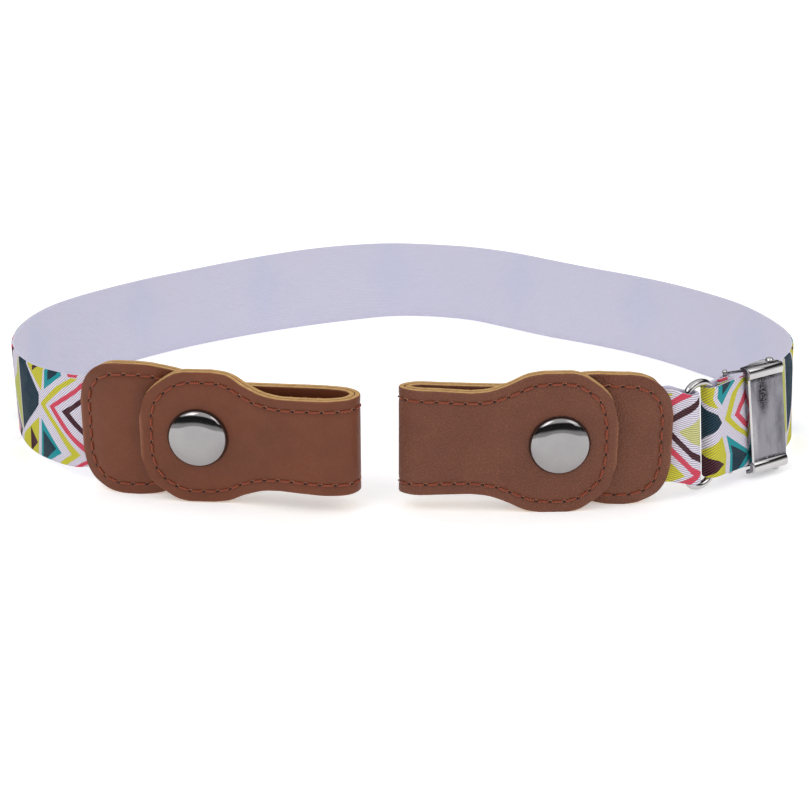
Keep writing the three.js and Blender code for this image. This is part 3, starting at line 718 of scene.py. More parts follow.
@dataclass(frozen=True)
class Nickel:
    """Nickel-plated metal, polished or clouded by handling, with bands of painted light where given."""

    name: str
    colour: str = "a29f9f"
    shade: str = "9a9798"
    roughness: float = 0.06
    cloudiness: float = 0.03
    scratch_roughness: float = 0.12
    patch_size: float = 90.0
    upright: float = 1.0
    dents: float = 0.012
    painted_bands: tuple[PaintedBand, ...] = ()
    painted_band_depth: float = 3.2

    def painted_banded(self, sketch: NodeSketch, place: NodeSocket, colour: NodeSocket) -> NodeSocket:
        """Lays the bands of painted reflection, highlight and shade over the plating.

        Args:
            sketch: the material's sketch.
            place: the piece's own coordinates.
            colour: the plating's colour.

        Returns:
            The colour with the painted bands in it.
        """
        specks = sketch.steps(sketch.noise(place, 2400.0, 3.0, 0.7), 0.28, 0.55)
        for painted_band in self.painted_bands:
            near = sketch.node("Mapping", {
                "Vector": place,
                "Location": TO_WORLD @ CLASP_POSE.at(painted_band.s, self.painted_band_depth, painted_band.up),
                "Rotation": (0.0, 0.0, math.radians(CLASP_POSE.heading)),
                "Scale": (painted_band.half_width * MM, 1.0, painted_band.half_length * MM),
            }, vector_type="TEXTURE").outputs[0]
            away = sketch.node("VectorMath", {0: near}, operation="LENGTH").outputs["Value"]
            core = sketch.steps(away, 1.0, 0.2, 0.0, painted_band.share, smooth=True)
            colour = sketch.mix(sketch.times(core, specks), colour, tone(painted_band.colour))
        return colour

    def build(self) -> Material:
        """Makes the material.

        Returns:
            The material.
        """
        sketch = MaterialSketch(self.name)
        place = sketch.object_place()
        stretch = {0: place, 1: (1.0, 1.0, self.upright)}
        drawn = sketch.node("VectorMath", stretch, operation="MULTIPLY").outputs[0]
        wear = sketch.group(wear_group(), Place=drawn, Patch_Size=self.patch_size)
        plated = sketch.mix(wear["Clouds"], tone(self.colour), tone(self.shade))
        rough = sketch.math("MULTIPLY_ADD", wear["Clouds"], self.cloudiness, self.roughness)
        ripples = sketch.noise(place, self.patch_size * 1.4, 2.0)
        height = sketch.math("ADD", ripples, sketch.times(wear["Scratches"], 0.08))
        return sketch.finished({
            "Base Color": self.painted_banded(sketch, place, plated),
            "Roughness": sketch.math("MULTIPLY_ADD", wear["Scratches"], self.scratch_roughness, rough),
            "Metallic": 1.0,
            "Normal": sketch.bump(height, self.dents),
        })


@dataclass(frozen=True)
class Floor:
    """Plain pale studio floor."""

    name: str = "studio_floor"
    pale: str = "fafafa"
    shade: str = "f6f6f7"
    glow: float = 0.28

    def build(self) -> Material:
        """Makes the material.

        Returns:
            The material.
        """
        sketch = MaterialSketch(self.name)
        mottle = sketch.noise(sketch.object_place(), 3.0)
        return sketch.finished({
            "Base Color": sketch.mix(mottle, tone(self.pale), tone(self.shade)),
            "Roughness": sketch.steps(mottle, 0.0, 1.0, 0.85, 0.95),
            "Specular IOR Level": 0.1,
            "Emission Color": WHITE,
            "Emission Strength": self.glow,
        })


# Shapes of strips that stand on their edge

@dataclass(frozen=True)
class Pose:
    """Where a metal piece stands. Its own axes are s along the strap, n out of its face, and up."""

    x: float
    y: float
    z: float
    heading: float
    pitch: float
    lean: float

    def matrix(self) -> Matrix:
        """Joins the turn and the place.

        Returns:
            Both, in layout millimetres.
        """
        turned = Matrix.Identity(4)
        for angle, axis in zip((self.heading, self.pitch, self.lean), "ZYX"):
            turned = turned @ Matrix.Rotation(math.radians(angle), 4, axis)
        return Matrix.Translation((self.x, self.y, self.z)) @ turned

    def at(self, s: float, n: float, up: float = 0.0) -> Vector:
        """Returns the layout point at (s, n, up)."""
        return self.matrix() @ Vector((s, -n, up))

    def axes_at(self, s: float, n: float, up: float = 0.0) -> Matrix:
        """Returns the piece's own axes, moved to (s, n, up)."""
        return self.matrix() @ Matrix.Translation((s, -n, up))

    def section(self, s: float, n: float, width: float, lift: float = 0.0) -> "Section":
        """Returns a strap's section that stands in these axes."""
        up = self.matrix().to_3x3() @ UP
        return Section(self.at(s, n, lift), up * width / 2)


@dataclass(frozen=True)
class Section:
    """One section of a strip: its middle, and the way from there to its upper edge."""

    middle: Vector
    reach: Vector


CLASP_POSE = Pose(94.1, -131.2, 14.9, 44.0, 1.5, -9.5)
RING_POSE = Pose(74.1, -148.95, 15.9, 36.0, -1.5, -4.5)
BAR_PLACE = (-11.6, -3.3)


def spline_point(corners: Sequence[np.ndarray], share: float) -> np.ndarray:
    """Returns a point of a centripetal spline between the second and third of four corners.

    Args:
        corners: four rows of numbers, whose first two columns set the spacing.
        share: the way from the second to the third corner.

    Returns:
        The row there.
    """
    knots = [0.0]
    for before, after in zip(corners, corners[1:]):
        knots.append(knots[-1] + max(math.dist(before[:2], after[:2]), 1e-6) ** 0.5)
    at = knots[1] + (knots[2] - knots[1]) * share
    level = list(corners)
    for wide in (1, 2):
        spans = zip(level, level[1:], knots, knots[wide:])
        level = [(a * (end - at) + b * (at - start)) / (end - start) for a, b, start, end in spans]
    return (level[0] * (knots[2] - at) + level[1] * (at - knots[1])) / (knots[2] - knots[1])


def ease(share: float) -> float:
    """Returns a share that starts and ends softly."""
    return share * share * (3 - 2 * share)


def stations(rows: int, steps: int, end_steps: int) -> list[tuple[int, float]]:
    """Spaces stations between the rows of a table.

    Args:
        rows: how many rows the table has.
        steps: stations to a row.
        end_steps: stations to the first row and to the last but one.

    Returns:
        Each station's row and its share of the way to the next row. The last row has none.
    """
    places = []
    for row in range(rows - 1):
        count = end_steps if row in (0, rows - 2) else steps
        places += [(row, k / count) for k in range(count)]
    return places


def smooth_rows(rows: Sequence[Sequence[float]], steps: int,
                end_steps: int | None = None) -> list[np.ndarray]:
    """Runs a smooth path through a table.

    Args:
        rows: the table, whose first two columns are x and y.
        steps: stations to a row.
        end_steps: stations at the first and the last row, or None for the same.

    Returns:
        The stations' rows.
    """
    table = [np.array(row, float) for row in rows]
    padded = [2 * table[0] - table[1], *table, 2 * table[-1] - table[-2]]
    places = stations(len(table), steps, end_steps or steps)
    return [*(spline_point(padded[row:row + 4], share) for row, share in places), table[-1]]


def smooth_sections(sections: Sequence[Section], steps: int) -> list[Section]:
    """Returns sections on a smooth path through some sections."""
    rows = smooth_rows([[*section.middle, *section.reach] for section in sections], steps)
    return [Section(Vector(row[:3]), Vector(row[3:])) for row in rows]


@dataclass(frozen=True)
class Wrap:
    """A strap's way round a bar, in the axes of the bar's pose.

    The turn is the first and the last direction in degrees, where 90 faces the wearer.
    """

    pose: Pose
    place: tuple[float, float]
    radius: float
    turn: tuple[float, float]
    steps: int
    lift: float = 0.0

    def sections(self) -> list[Section]:
        """Lays the strap round the bar.

        Returns:
            Its sections in order.
        """
        s, n = self.place
        angles = np.radians(np.linspace(*self.turn, self.steps + 1))
        places = [(s + self.radius * math.cos(a), n - self.radius * math.sin(a)) for a in angles]
        return [self.pose.section(*place, STRAP_WIDTH_HELD, self.lift) for place in places]


def lay_grid(bm: BMesh, columns: int, rows: int, place: Callable[[int, int], Vector],
             mark: Callable[[int, int], tuple[float, float]], material: Callable[[int, int], int]) -> None:
    """Adds a grid and moves its corners onto a surface.

    Args:
        bm: the mesh to add to.
        columns: faces along the grid.
        rows: faces across it.
        place: gives a corner's place.
        mark: gives a corner's place on the piece's map.
        material: gives a face's material number, from its lowest corner.
    """
    marks = bm.loops.layers.uv.get(PLACE_MAP) or bm.loops.layers.uv.new(PLACE_MAP)
    corners = bmesh.ops.create_grid(bm, x_segments=columns, y_segments=rows, size=1.0)["verts"]
    spots = {}
    for corner in corners:
        spots[corner] = (round((corner.co.x + 1) / 2 * columns), round((corner.co.y + 1) / 2 * rows))
    for face in {face for corner in corners for face in corner.link_faces}:
        for loop in face.loops:
            loop[marks].uv = mark(*spots[loop.vert])
        low = min(spots[v][0] for v in face.verts), min(spots[v][1] for v in face.verts)
        face.material_index = material(*low)
    for corner, spot in spots.items():
        corner.co = place(*spot)


def close_up(bm: BMesh) -> list[BMFace]:
    """Joins the seams, fills the open ends and turns the faces out.

    Args:
        bm: the mesh.

    Returns:
        The faces that fill the ends.
    """
    bmesh.ops.remove_doubles(bm, verts=bm.verts, dist=JOIN_GAP)
    open_edges = [edge for edge in bm.edges if edge.is_boundary]
    filled = bmesh.ops.holes_fill(bm, edges=open_edges, sides=0)["faces"]
    bmesh.ops.recalc_face_normals(bm, faces=bm.faces)
    return filled


def resample(points: np.ndarray, step: float) -> np.ndarray:
    """Spaces points evenly along a line, leaving its last one out.

    Args:
        points: the line's corners.
        step: the distance between the new points.

    Returns:
        The new points.
    """
    along = np.concatenate([[0], np.cumsum(np.linalg.norm(np.diff(points, axis=0), axis=1))])
    count = max(int(round(along[-1] / step)), 1)
    at = np.linspace(0, along[-1], count + 1)[:-1]
    return np.stack([np.interp(at, along, points[:, k]) for k in range(points.shape[1])], axis=1)


def axes(run: Vector, out: Vector) -> Matrix:
    """Returns the turn whose x is along a run and whose z is out of a surface.

    Args:
        run: the way along.
        out: the way out, of length 1.

    Returns:
        The turn.
    """
    side = out.cross(run).normalized()
    ahead = side.cross(out)
    return Matrix((ahead, side, out)).transposed().to_4x4()


def bevel_edges(bm: BMesh, edges: Sequence[bmesh.types.BMEdge], offset: float) -> None:
    """Rounds some edges of a mesh."""
    bmesh.ops.bevel(bm, geom=edges, offset=offset, offset_type="OFFSET", segments=3, profile=0.5,
                    affect="EDGES", clamp_overlap=True, material=-1)


def mesh_of(name: str, bm: BMesh) -> Mesh:
    """Turns an edit mesh into a mesh.

    Args:
        name: the mesh's name.
        bm: the edit mesh, which is freed.

    Returns:
        The mesh.
    """
    mesh = bpy.data.meshes.new(name)
    bm.to_mesh(mesh)
    bm.free()
    return mesh


def add_copy(bm: BMesh, mesh: Mesh, matrix: Matrix) -> None:
    """Adds a turned and moved copy of a mesh, and leaves the mesh as it was.

    Args:
        bm: the edit mesh to add to.
        mesh: the mesh.
        matrix: where the copy goes.
    """
    mesh.transform(matrix)
    bm.from_mesh(mesh)
    mesh.transform(matrix.inverted())


def add_object(name: str, data: bpy.types.ID) -> Object:
    """Adds an object to the scene.

    Args:
        name: its name.
        data: its mesh, light or camera.

    Returns:
        The object.
    """
    made = bpy.data.objects.new(name, data)
    bpy.context.scene.collection.objects.link(made)
    return made


def finish_piece(name: str, bm: BMesh, finishes: Sequence[Material], slot: Slot, replaces: Sequence[str] = (),
                 body: Body = Body.BELT, sharp: float = 40.0, matrix: Matrix = TO_WORLD) -> Object:
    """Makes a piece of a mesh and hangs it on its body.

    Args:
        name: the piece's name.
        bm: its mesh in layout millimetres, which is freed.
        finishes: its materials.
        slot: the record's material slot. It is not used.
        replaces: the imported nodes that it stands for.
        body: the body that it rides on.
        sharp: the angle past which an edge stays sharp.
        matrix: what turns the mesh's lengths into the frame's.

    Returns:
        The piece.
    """
    bmesh.ops.transform(bm, matrix=matrix, verts=bm.verts)
    mesh = mesh_of(name, bm)
    for finish in finishes:
        mesh.materials.append(finish)
    mesh.shade_smooth()
    mesh.set_sharp_from_angle(angle=math.radians(sharp))
    piece = add_object(name, mesh)
    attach(piece, body.value)
    if replaces:
        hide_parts(*replaces)
    log.info("%s: %d faces on %s", name, len(mesh.polygons), body.value)
    return piece


# Elastic straps

@dataclass
class ElasticStraps:
    """The long printed strap and the short doubled one, with their printed and plain faces."""

    thick: float = 1.05
    selvedge: float = 0.4
    across_faces: int = 14
    at_ring: Wrap = Wrap(RING_POSE, (4.15, 0.0), 1.9, (-82, -268), 26)
    at_bar: Wrap = Wrap(CLASP_POSE, BAR_PLACE, 0.8 + STRAP_THICK / 2, (96, -90), 20)
    short_fold: Wrap = Wrap(RING_POSE, (-3.4, 0.4), 1.9, (-133, 72), 28, 0.1)
    in_clasp: tuple[float, ...] = (6.0, 3.5, -4.0, -8.5)
    tail: tuple[float, ...] = (1.2, 2.5, 4.8)
    short_end: float = 52.0
    short_front: tuple[float, float] = (-6.4, 0.75)
    short_back: tuple[float, float] = (-4.4, -2.2)
    short_lift: float = 0.8
    held_stride: int = 4
    long_steps: int = 6
    short_steps: int = 5
    rib_slants: tuple[float, float] = (36.0, -4.0)
    route: tuple[tuple[float, float, float, float], ...] = (
        (-61.5, -148.2, 5.0, 0.0), (-69.4, -147.8, 5.0, 0.0), (-74.6, -146.3, 4.9, 0.0),
        (-80.6, -142.95, 4.6, 0.0), (-84.4, -140.3, 3.7, -1.2), (-87.9, -137.4, 3.2, -1.4),
        (-92.4, -132.6, 2.5, -1.0), (-97.3, -126.0, 1.5, -0.6), (-101.6, -118.8, 0.9, -0.2),
        (-105.4, -110.0, 0.4, 0.2), (-107.8, -101.0, 0.0, 0.4), (-108.5, -92.0, 0.0, 0.5),
        (-107.4, -81.0, 0.0, 0.6), (-103.7, -69.6, 0.0, 0.7), (-98.8, -61.7, 0.0, 0.7),
        (-92.3, -53.7, 0.0, 0.6), (-79.2, -40.6, 0.0, 0.5), (-67.9, -31.3, 0.0, 0.3),
        (-56.0, -22.6, 0.0, 1.3), (-43.8, -14.8, 0.0, 2.5), (-31.1, -7.9, 0.0, 3.4),
        (-18.1, -2.7, 0.0, 3.0), (-4.8, 0.6, 0.0, 1.0), (8.5, -0.2, 0.0, -0.3),
        (21.8, -3.8, 0.0, 0.3), (34.5, -11.3, 0.0, 2.4), (46.9, -20.7, 0.0, 2.2),
        (59.0, -29.0, 0.0, 0.6), (70.7, -37.2, 0.0, 0.4), (81.8, -47.0, 0.0, 1.2),
        (92.0, -58.8, 0.0, 1.8), (97.5, -66.2, 0.0, 1.5), (101.3, -73.6, 0.0, 1.2),
        (104.2, -81.4, 0.0, 0.8), (106.2, -88.8, 0.0, 0.4), (107.1, -96.0, 0.1, -0.1),
        (106.8, -102.6, 0.3, -0.7), (105.6, -109.2, 0.7, -1.4), (103.6, -116.0, 1.2, -2.2),
    )
    """Rows of x, y, height of the lower edge, and how far the upper edge stands outside it."""

    def long_sections(self) -> list[Section]:
        """Lays out the long strap, from the left leather loop to its tail.

        Returns:
            Its sections in order.
        """
        sections = []
        ends = [self.route[0], *self.route, self.route[-1]]
        for before, (x, y, bottom, lean), after in zip(ends, self.route, ends[2:]):
            run = Vector((after[0] - before[0], after[1] - before[1], 0)).normalized()
            reach = Vector((-run.y * lean / 2, run.x * lean / 2, STRAP_WIDTH / 2))
            sections.append(Section(Vector((x, y, bottom + STRAP_WIDTH / 2)), reach))
        sections += [CLASP_POSE.section(s, 0, STRAP_WIDTH_HELD) for s in self.in_clasp]
        at_ring = self.at_ring.sections()
        smooth = smooth_sections([*sections, at_ring[0]], self.long_steps)
        bar_s, bar_n = BAR_PLACE
        tail_n = bar_n + self.at_bar.radius
        tail = [CLASP_POSE.section(bar_s - back, tail_n, STRAP_WIDTH) for back in self.tail]
        return [*smooth[:-1], *at_ring, *self.at_bar.sections(), *tail]

    def short_sections(self, leather: "LeatherLoop") -> list[Section]:
        """Lays out the short strap, from one end in the leather round the ring to the other.

        Args:
            leather: the right loop, which holds both ends.

        Returns:
            Its sections in order.
        """
        apart = (STRAP_THICK + GAP) / 2
        fold = self.short_fold.sections()
        upright = Vector((0, 0, STRAP_WIDTH / 2))
        layers = []
        for inward, (s, n), last in ((-apart, self.short_front, fold[0]), (apart, self.short_back, fold[-1])):
            held = []
            for middle, normal in zip(leather.middles, leather.normals):
                if middle.x < self.short_end:
                    break
                place = middle + normal * (-inward if normal.y < 0 else inward)
                held.append(Section(Vector((place.x, place.y, leather.strap_middle)), upright))
            leaving = RING_POSE.section(s, n, STRAP_WIDTH_HELD, self.short_lift)
            kept = held[::-1][::self.held_stride]
            layers.append(smooth_sections([*kept, leaving, last], self.short_steps))
        front, back = layers
        return [*front[:-1], *fold, *back[::-1][1:]]

    def edge_ring(self) -> list[tuple[float, float, float, int]]:
        """Draws the outline of a section.

        Returns:
            Rows of depth, share of the width, rounding past it, and material.
        """
        half = self.thick / 2
        round_depths = ((half * 0.72, 0.68, 0), (half * 0.3, 0.94, 0), (-half * 0.3, 0.94, 1),
                        (-half * 0.72, 0.68, 1))
        shares = np.linspace(-1, 1, self.across_faces + 1)
        outline = [(half, float(share), 0.0, 0) for share in shares]
        outline += [(depth, 1.0, self.selvedge * past, side) for depth, past, side in round_depths]
        outline += [(-half, float(share), 0.0, 1) for share in shares[::-1]]
        lower = reversed(round_depths)
        outline += [(depth, -1.0, -self.selvedge * past, side) for depth, past, side in lower]
        return [*outline, outline[0]]

    def strap(self, name: str, node: str, sections: list[Section], sign: float,
              finishes: Sequence[Material]) -> None:
        """Builds one strap round its sections.

        Args:
            name: the piece's name.
            node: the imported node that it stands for.
            sections: its sections in order.
            sign: 1 where the print runs on along the strap and is on its left, -1 where it runs back and is
                on its right.
            finishes: the printed face's and the plain face's material.
        """
        middles = [section.middle for section in sections]
        runs = [after - before for before, after in zip([middles[0], *middles], [*middles[1:], middles[-1]])]
        outward = [section.reach.cross(run).normalized() for section, run in zip(sections, runs)]
        along = [0.0]
        for before, after in zip(middles, middles[1:]):
            along.append(along[-1] + (after - before).length)
        ring = self.edge_ring()

        def across(i: int, j: int) -> float:
            """Returns how far a corner is above the middle."""
            _, share, past, _ = ring[j]
            return share * (sections[i].reach.length - self.selvedge) + past

        def place(i: int, j: int) -> Vector:
            """Returns a corner's place."""
            up = sections[i].reach.normalized()
            return sections[i].middle + up * across(i, j) + outward[i] * ring[j][0] * sign

        bm = bmesh.new()
        lay_grid(bm, len(sections) - 1, len(ring) - 1, place, lambda i, j: (sign * along[i], across(i, j)),
                 lambda i, j: max(ring[j][3], ring[j + 1][3]))
        close_up(bm)
        piece = finish_piece(name, bm, finishes, Slot.ELASTIC, [node])
        log.info("%s: flat %.0f x %.0f mm", name, STRAP_WIDTH, along[-1])

    def build(self, leather: "LeatherLoop") -> None:
        """Builds both straps.

        Args:
            leather: the right loop, which holds the short strap.
        """
        plain = PLAIN_BACK.build()
        long_slant, short_slant = self.rib_slants
        printed = Elastic("printed_elastic_face", long_slant, printed_ground(print_group)).build()
        self.strap("elastic_strap_weave", "elastic_strap", self.long_sections(), 1.0, [printed, plain])
        printed = Elastic("short_printed_face", short_slant, printed_ground(short_print_group)).build()
        self.strap("short_strap_weave", "short_strap", self.short_sections(leather), -1.0, [printed, plain])


# Leather loops

DISC_END = ((0, 0.3), (1.3, 0.58), (3.2, 0.73), (6, 0.86), (8.8, 0.96), (11.4, 1))
DISC_SHOULDER = ((18.5, 1), (22.5, 0.86), (27, 0.45), (31.5, 0.13), (36, 0))
BASE_END = ((0, 0.4), (0.9, 0.62), (3.6, 0.84), (7, 0.96), (10.5, 1))
BASE_SHOULDER = ((15, 1), (19, 0.93), (25, 0.66), (32, 0.3), (38, 0.07), (42, 0))

TOGETHER = (PLY_THICK + PLY_GAP) / 2
ROUND_STRAP = (STRAP_THICK + PLY_THICK) / 2 + GAP
ROUND_DOUBLED = ROUND_STRAP + (STRAP_THICK + GAP) / 2


def share_at(outline: Sequence[tuple[float, float]], reach: float) -> float:
    """Returns an outline's share at a distance from the end.

    Args:
        outline: rows of distance and share.
        reach: the distance.

    Returns:
        The share, on a smooth curve through the rows.
    """
    if reach <= outline[0][0]:
        return outline[0][1]
    if reach >= outline[-1][0]:
        return outline[-1][1]
    i = next(k for k, row in enumerate(outline) if row[0] > reach) - 1
    spans = [outline[max(i - 1, 0)], outline[i], outline[i + 1], outline[min(i + 2, len(outline) - 1)]]
    (x0, y0), (x1, y1), (x2, y2), (x3, y3) = spans
    w = (reach - x1) / (x2 - x1)
    slope_in = (y2 - y0) / (x2 - x0) * (x2 - x1)
    slope_out = (y3 - y1) / (x3 - x1) * (x2 - x1)
    w2, w3 = w * w, w * w * w
    bend = (w3 - 2 * w2 + w) * slope_in + (w3 - w2) * slope_out
    return (2 * w3 - 3 * w2 + 1) * y1 + (3 * w2 - 2 * w3) * y2 + bend


@dataclass
class LeatherLoop:
    """A folded strip of two plies with its stitches and its snap.

    The path is the strip's middle line seen from above, from the end of its base wall. Its heights, and half
    the distance that the plies' middles stand apart, are given at the same corners.
    """

    name: str
    side: int
    snap_x: float
    snap_z: float
    base_half: float
    disc_half: float
    neck_half: float
    fold_half: float
    path: tuple[tuple[float, float], ...]
    heights: tuple[float, ...]
    apart: tuple[float, ...]
    strap_middle: float = 17.5
    steps: int = 9
    end_steps: int = 14
    neck_reach: float = 26.0
    stitch_inset: float = 2.8
    stitch_length: float = 3.5
    outline_step: float = 0.45
    outline_run: int = 3
    kept_share: float = 0.965
    dent: float = 0.28
    dent_width: float = 0.7
    pit_width: float = 0.56
    groove_share: float = 0.6
    batch: int = 4000
    glued: float = 0.12
    closing_outer: float = 1.5
    closing_inner: float = 0.5
    closing_from: float = STRAP_WIDTH / 2 + 3 * GAP
    closing_width: float = 3.0
    corner_round: float = 0.1
    sharp: float = 50.0
    strands: tuple[float, ...] = (0.3, 0.5, 0.7)
    strand_half: tuple[float, float, float] = (0.64, 0.28, 0.26)
    strand_twist: float = 16.0
    look_ahead: float = 0.05
    hole_radii: tuple[float, float] = (0.42, 0.29)
    hole_depth: float = 0.26
    hole_stretch: float = 1.75
    hole_lift: float = -0.12
    thread_lift: float = 0.04
    edge_rows: tuple[float, ...] = (0.0, 0.16, 0.5, 1.0, 1.5, 2.0, 2.4, 2.8, 3.2, 3.7, 4.3, 4.95)
    inner_faces: int = 8
    middles: list[Vector] = field(init=False)
    normals: list[Vector] = field(init=False)
    halfs: list[float] = field(init=False)
    spreads: list[float] = field(init=False)
    along: list[float] = field(init=False)
    fold: int = field(init=False)

    def __post_init__(self) -> None:
        """Lays out the strip's middle line and its half heights."""
        rows = [(*corner, height) for corner, height in zip(self.path, self.heights)]
        self.middles = [Vector(row) for row in smooth_rows(rows, self.steps, self.end_steps)]
        self.spreads = [
            self.apart[i] + (self.apart[i + 1] - self.apart[i]) * ease(share)
            for i, share in stations(len(self.apart), self.steps, self.end_steps)
        ] + [self.apart[-1]]
        last = len(self.middles) - 1
        self.normals, self.along = [], [0.0]
        for i in range(last + 1):
            run = self.middles[min(i + 1, last)] - self.middles[max(i - 1, 0)]
            self.normals.append(Vector((-run.y, run.x, 0)).normalized())
            if i:
                step = self.middles[i] - self.middles[i - 1]
                self.along.append(self.along[-1] + math.hypot(step.x, step.y))
        self.fold = min(range(last + 1), key=lambda i: abs(self.middles[i].x))
        self.halfs = [self.half_at(at) for at in self.along]

    def half_at(self, at: float) -> float:
        """Returns the strip's half height.

        Args:
            at: the length along the strip.

        Returns:
            The half height there.
        """
        length, fold_at = self.along[-1], self.along[self.fold]
        near = min(abs(at - fold_at) / self.neck_reach, 1)
        waist = self.fold_half + (self.neck_half - self.fold_half) * ease(near)
        if at < fold_at:
            full, end, shoulder, reach = self.base_half, BASE_END, BASE_SHOULDER, at
        else:
            full, end, shoulder, reach = self.disc_half, DISC_END, DISC_SHOULDER, length - at
        rounded_half = full * share_at(end, reach)
        return min(rounded_half, waist + (full - waist) * share_at(shoulder, reach))

    def depth_of(self, i: int, height: float, face: int) -> float:
        """Returns a ply's distance to the left of the middle line.

        Past the strap, the plies close up on each other.

        Args:
            i: the station.
            height: how far above the strip's middle.
            face: 1 for the outer ply, -1 for the inner one.

        Returns:
            The distance to the middle of the ply.
        """
        closing = (self.closing_outer if face > 0 else self.closing_inner) * -face * self.side
        past = ease(min(max((abs(height) - self.closing_from) / self.closing_width, 0), 1))
        return face * self.side * self.spreads[i] + closing * (self.spreads[i] - TOGETHER) * past

    def surface(self, face: int, at: float, height: float, lift: float) -> Vector:
        """Returns a point on a ply's outward face.

        Args:
            face: 1 for the outer ply, -1 for the inner one.
            at: the length along the strip.
            height: how far above the strip's middle.
            lift: how far above the leather.

        Returns:
            The point.
        """
        i = min(max(int(np.searchsorted(self.along, at)) - 1, 0), len(self.along) - 2)
        share = (at - self.along[i]) / (self.along[i + 1] - self.along[i])
        ends = []
        for k in (i, i + 1):
            depth = self.depth_of(k, height, face) + face * self.side * (PLY_THICK / 2 + lift)
            ends.append(self.middles[k] + self.normals[k] * depth + Vector((0, 0, height)))
        return ends[0].lerp(ends[1], share)

    def stitch_line(self) -> np.ndarray:
        """Spaces the needle holes along the strip's edge.

        Returns:
            Their places, as length along the strip and height.
        """
        edge = list(zip(self.along, self.halfs))
        loop = [*edge, *[(a, -h) for a, h in reversed(edge)]]
        outline = resample(np.array([*loop, loop[0]]), self.outline_step)
        run = np.roll(outline, -self.outline_run, axis=0) - np.roll(outline, self.outline_run, axis=0)
        run /= np.linalg.norm(run, axis=1)[:, None]
        inner = outline + np.stack([run[:, 1], -run[:, 0]], axis=1) * self.stitch_inset
        gaps = np.linalg.norm(inner[:, None] - outline[None], axis=2).min(axis=1)
        kept = inner[gaps > self.stitch_inset * self.kept_share]
        closed = np.vstack([kept, kept[:1]])
        length = np.linalg.norm(np.diff(closed, axis=0), axis=1).sum()
        return resample(closed, length / round(length / self.stitch_length))

    def dents(self, flat: np.ndarray, line: np.ndarray) -> np.ndarray:
        """Returns how far the leather is pulled in at flat places by the stitches.

        Args:
            flat: the places, as length along the strip and height.
            line: the needle holes' places.

        Returns:
            The depth at each place, in millimetres.
        """
        run = np.roll(line, -1, axis=0) - line
        depth = np.zeros(len(flat))
        for part in range(0, len(flat), self.batch):
            spots = flat[part:part + self.batch, None]
            share = np.clip(((spots - line) * run).sum(2) / (run * run).sum(1), 0, 1)
            away = np.linalg.norm(spots - line - share[:, :, None] * run, axis=2).min(axis=1)
            hole = np.linalg.norm(spots - line, axis=2).min(axis=1)
            groove = self.groove_share * np.exp(-((away / self.dent_width) ** 2))
            pit = (1 - self.groove_share) * np.exp(-((hole / self.pit_width) ** 2))
            depth[part:part + self.batch] = self.dent * (groove + pit)
        return depth

    def ply_heights(self, half: float) -> list[float]:
        """Spaces a section's corners.

        Args:
            half: the section's half height.

        Returns:
            The corners' heights, from the lower edge up.
        """
        lower = [-half + row for row in self.edge_rows]
        inner = half - self.edge_rows[-1]
        middle = list(np.linspace(-inner, inner, self.inner_faces + 1))[1:-1]
        return [*lower, *middle, *[-height for height in reversed(lower)]]

    def ply(self, name: str, face: int, line: np.ndarray, finishes: Sequence[Material], slot: Slot) -> None:
        """Builds one ply.

        Args:
            name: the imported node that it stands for.
            face: 1 for the outer ply, -1 for the inner one.
            line: the needle holes' places.
            finishes: the leather's and the cut edge's material.
            slot: the record's material slot.
        """
        levels = [self.ply_heights(half) for half in self.halfs]
        tall = len(levels[0])
        flat = np.array([(at, h) for at, level in zip(self.along, levels) for h in level])
        dents = self.dents(flat, line).reshape(len(levels), tall)

        def side_of(j: int) -> tuple[int, int]:
            """Returns which face a corner is on, 1 outward, and its row."""
            j %= 2 * tall
            return (1, j) if j < tall else (-1, 2 * tall - 1 - j)

        def place(i: int, j: int) -> Vector:
            """Places a corner.

            Args:
                i: its station.
                j: its number round the section.

            Returns:
                Its place.
            """
            outward, row = side_of(j)
            height = levels[i][row]
            lift = PLY_THICK / 2 - (self.corner_round if row in (0, tall - 1) else 0)
            lift += -dents[i, row] if outward > 0 else self.glued
            depth = self.depth_of(i, height, face) + outward * face * self.side * lift
            return self.middles[i] + self.normals[i] * depth + Vector((0, 0, height))

        bm = bmesh.new()
        lay_grid(bm, len(levels) - 1, 2 * tall, place, lambda i, j: (self.along[i], levels[i][side_of(j)[1]]),
                 lambda i, j: int(j in (tall - 1, 2 * tall - 1)))
        for end in close_up(bm):
            end.material_index = 1
        self.mark_edges(bm)
        finish_piece(f"{name}_leather", bm, finishes, slot, [name], sharp=self.sharp)

    def mark_edges(self, bm: BMesh) -> None:
        """Stores how close each corner is to a cut edge, for the rubbed colour.

        Args:
            bm: the ply's mesh.
        """
        marks = bm.verts.layers.float.new(EDGE_MARK)
        rims = {vert for f in bm.faces if f.material_index == 1 for vert in f.verts}
        near = {vert for rim in rims for edge in rim.link_edges for vert in edge.verts}
        for verts, share in ((near, 0.4), (rims, 1.0)):
            for vert in verts:
                vert[marks] = share

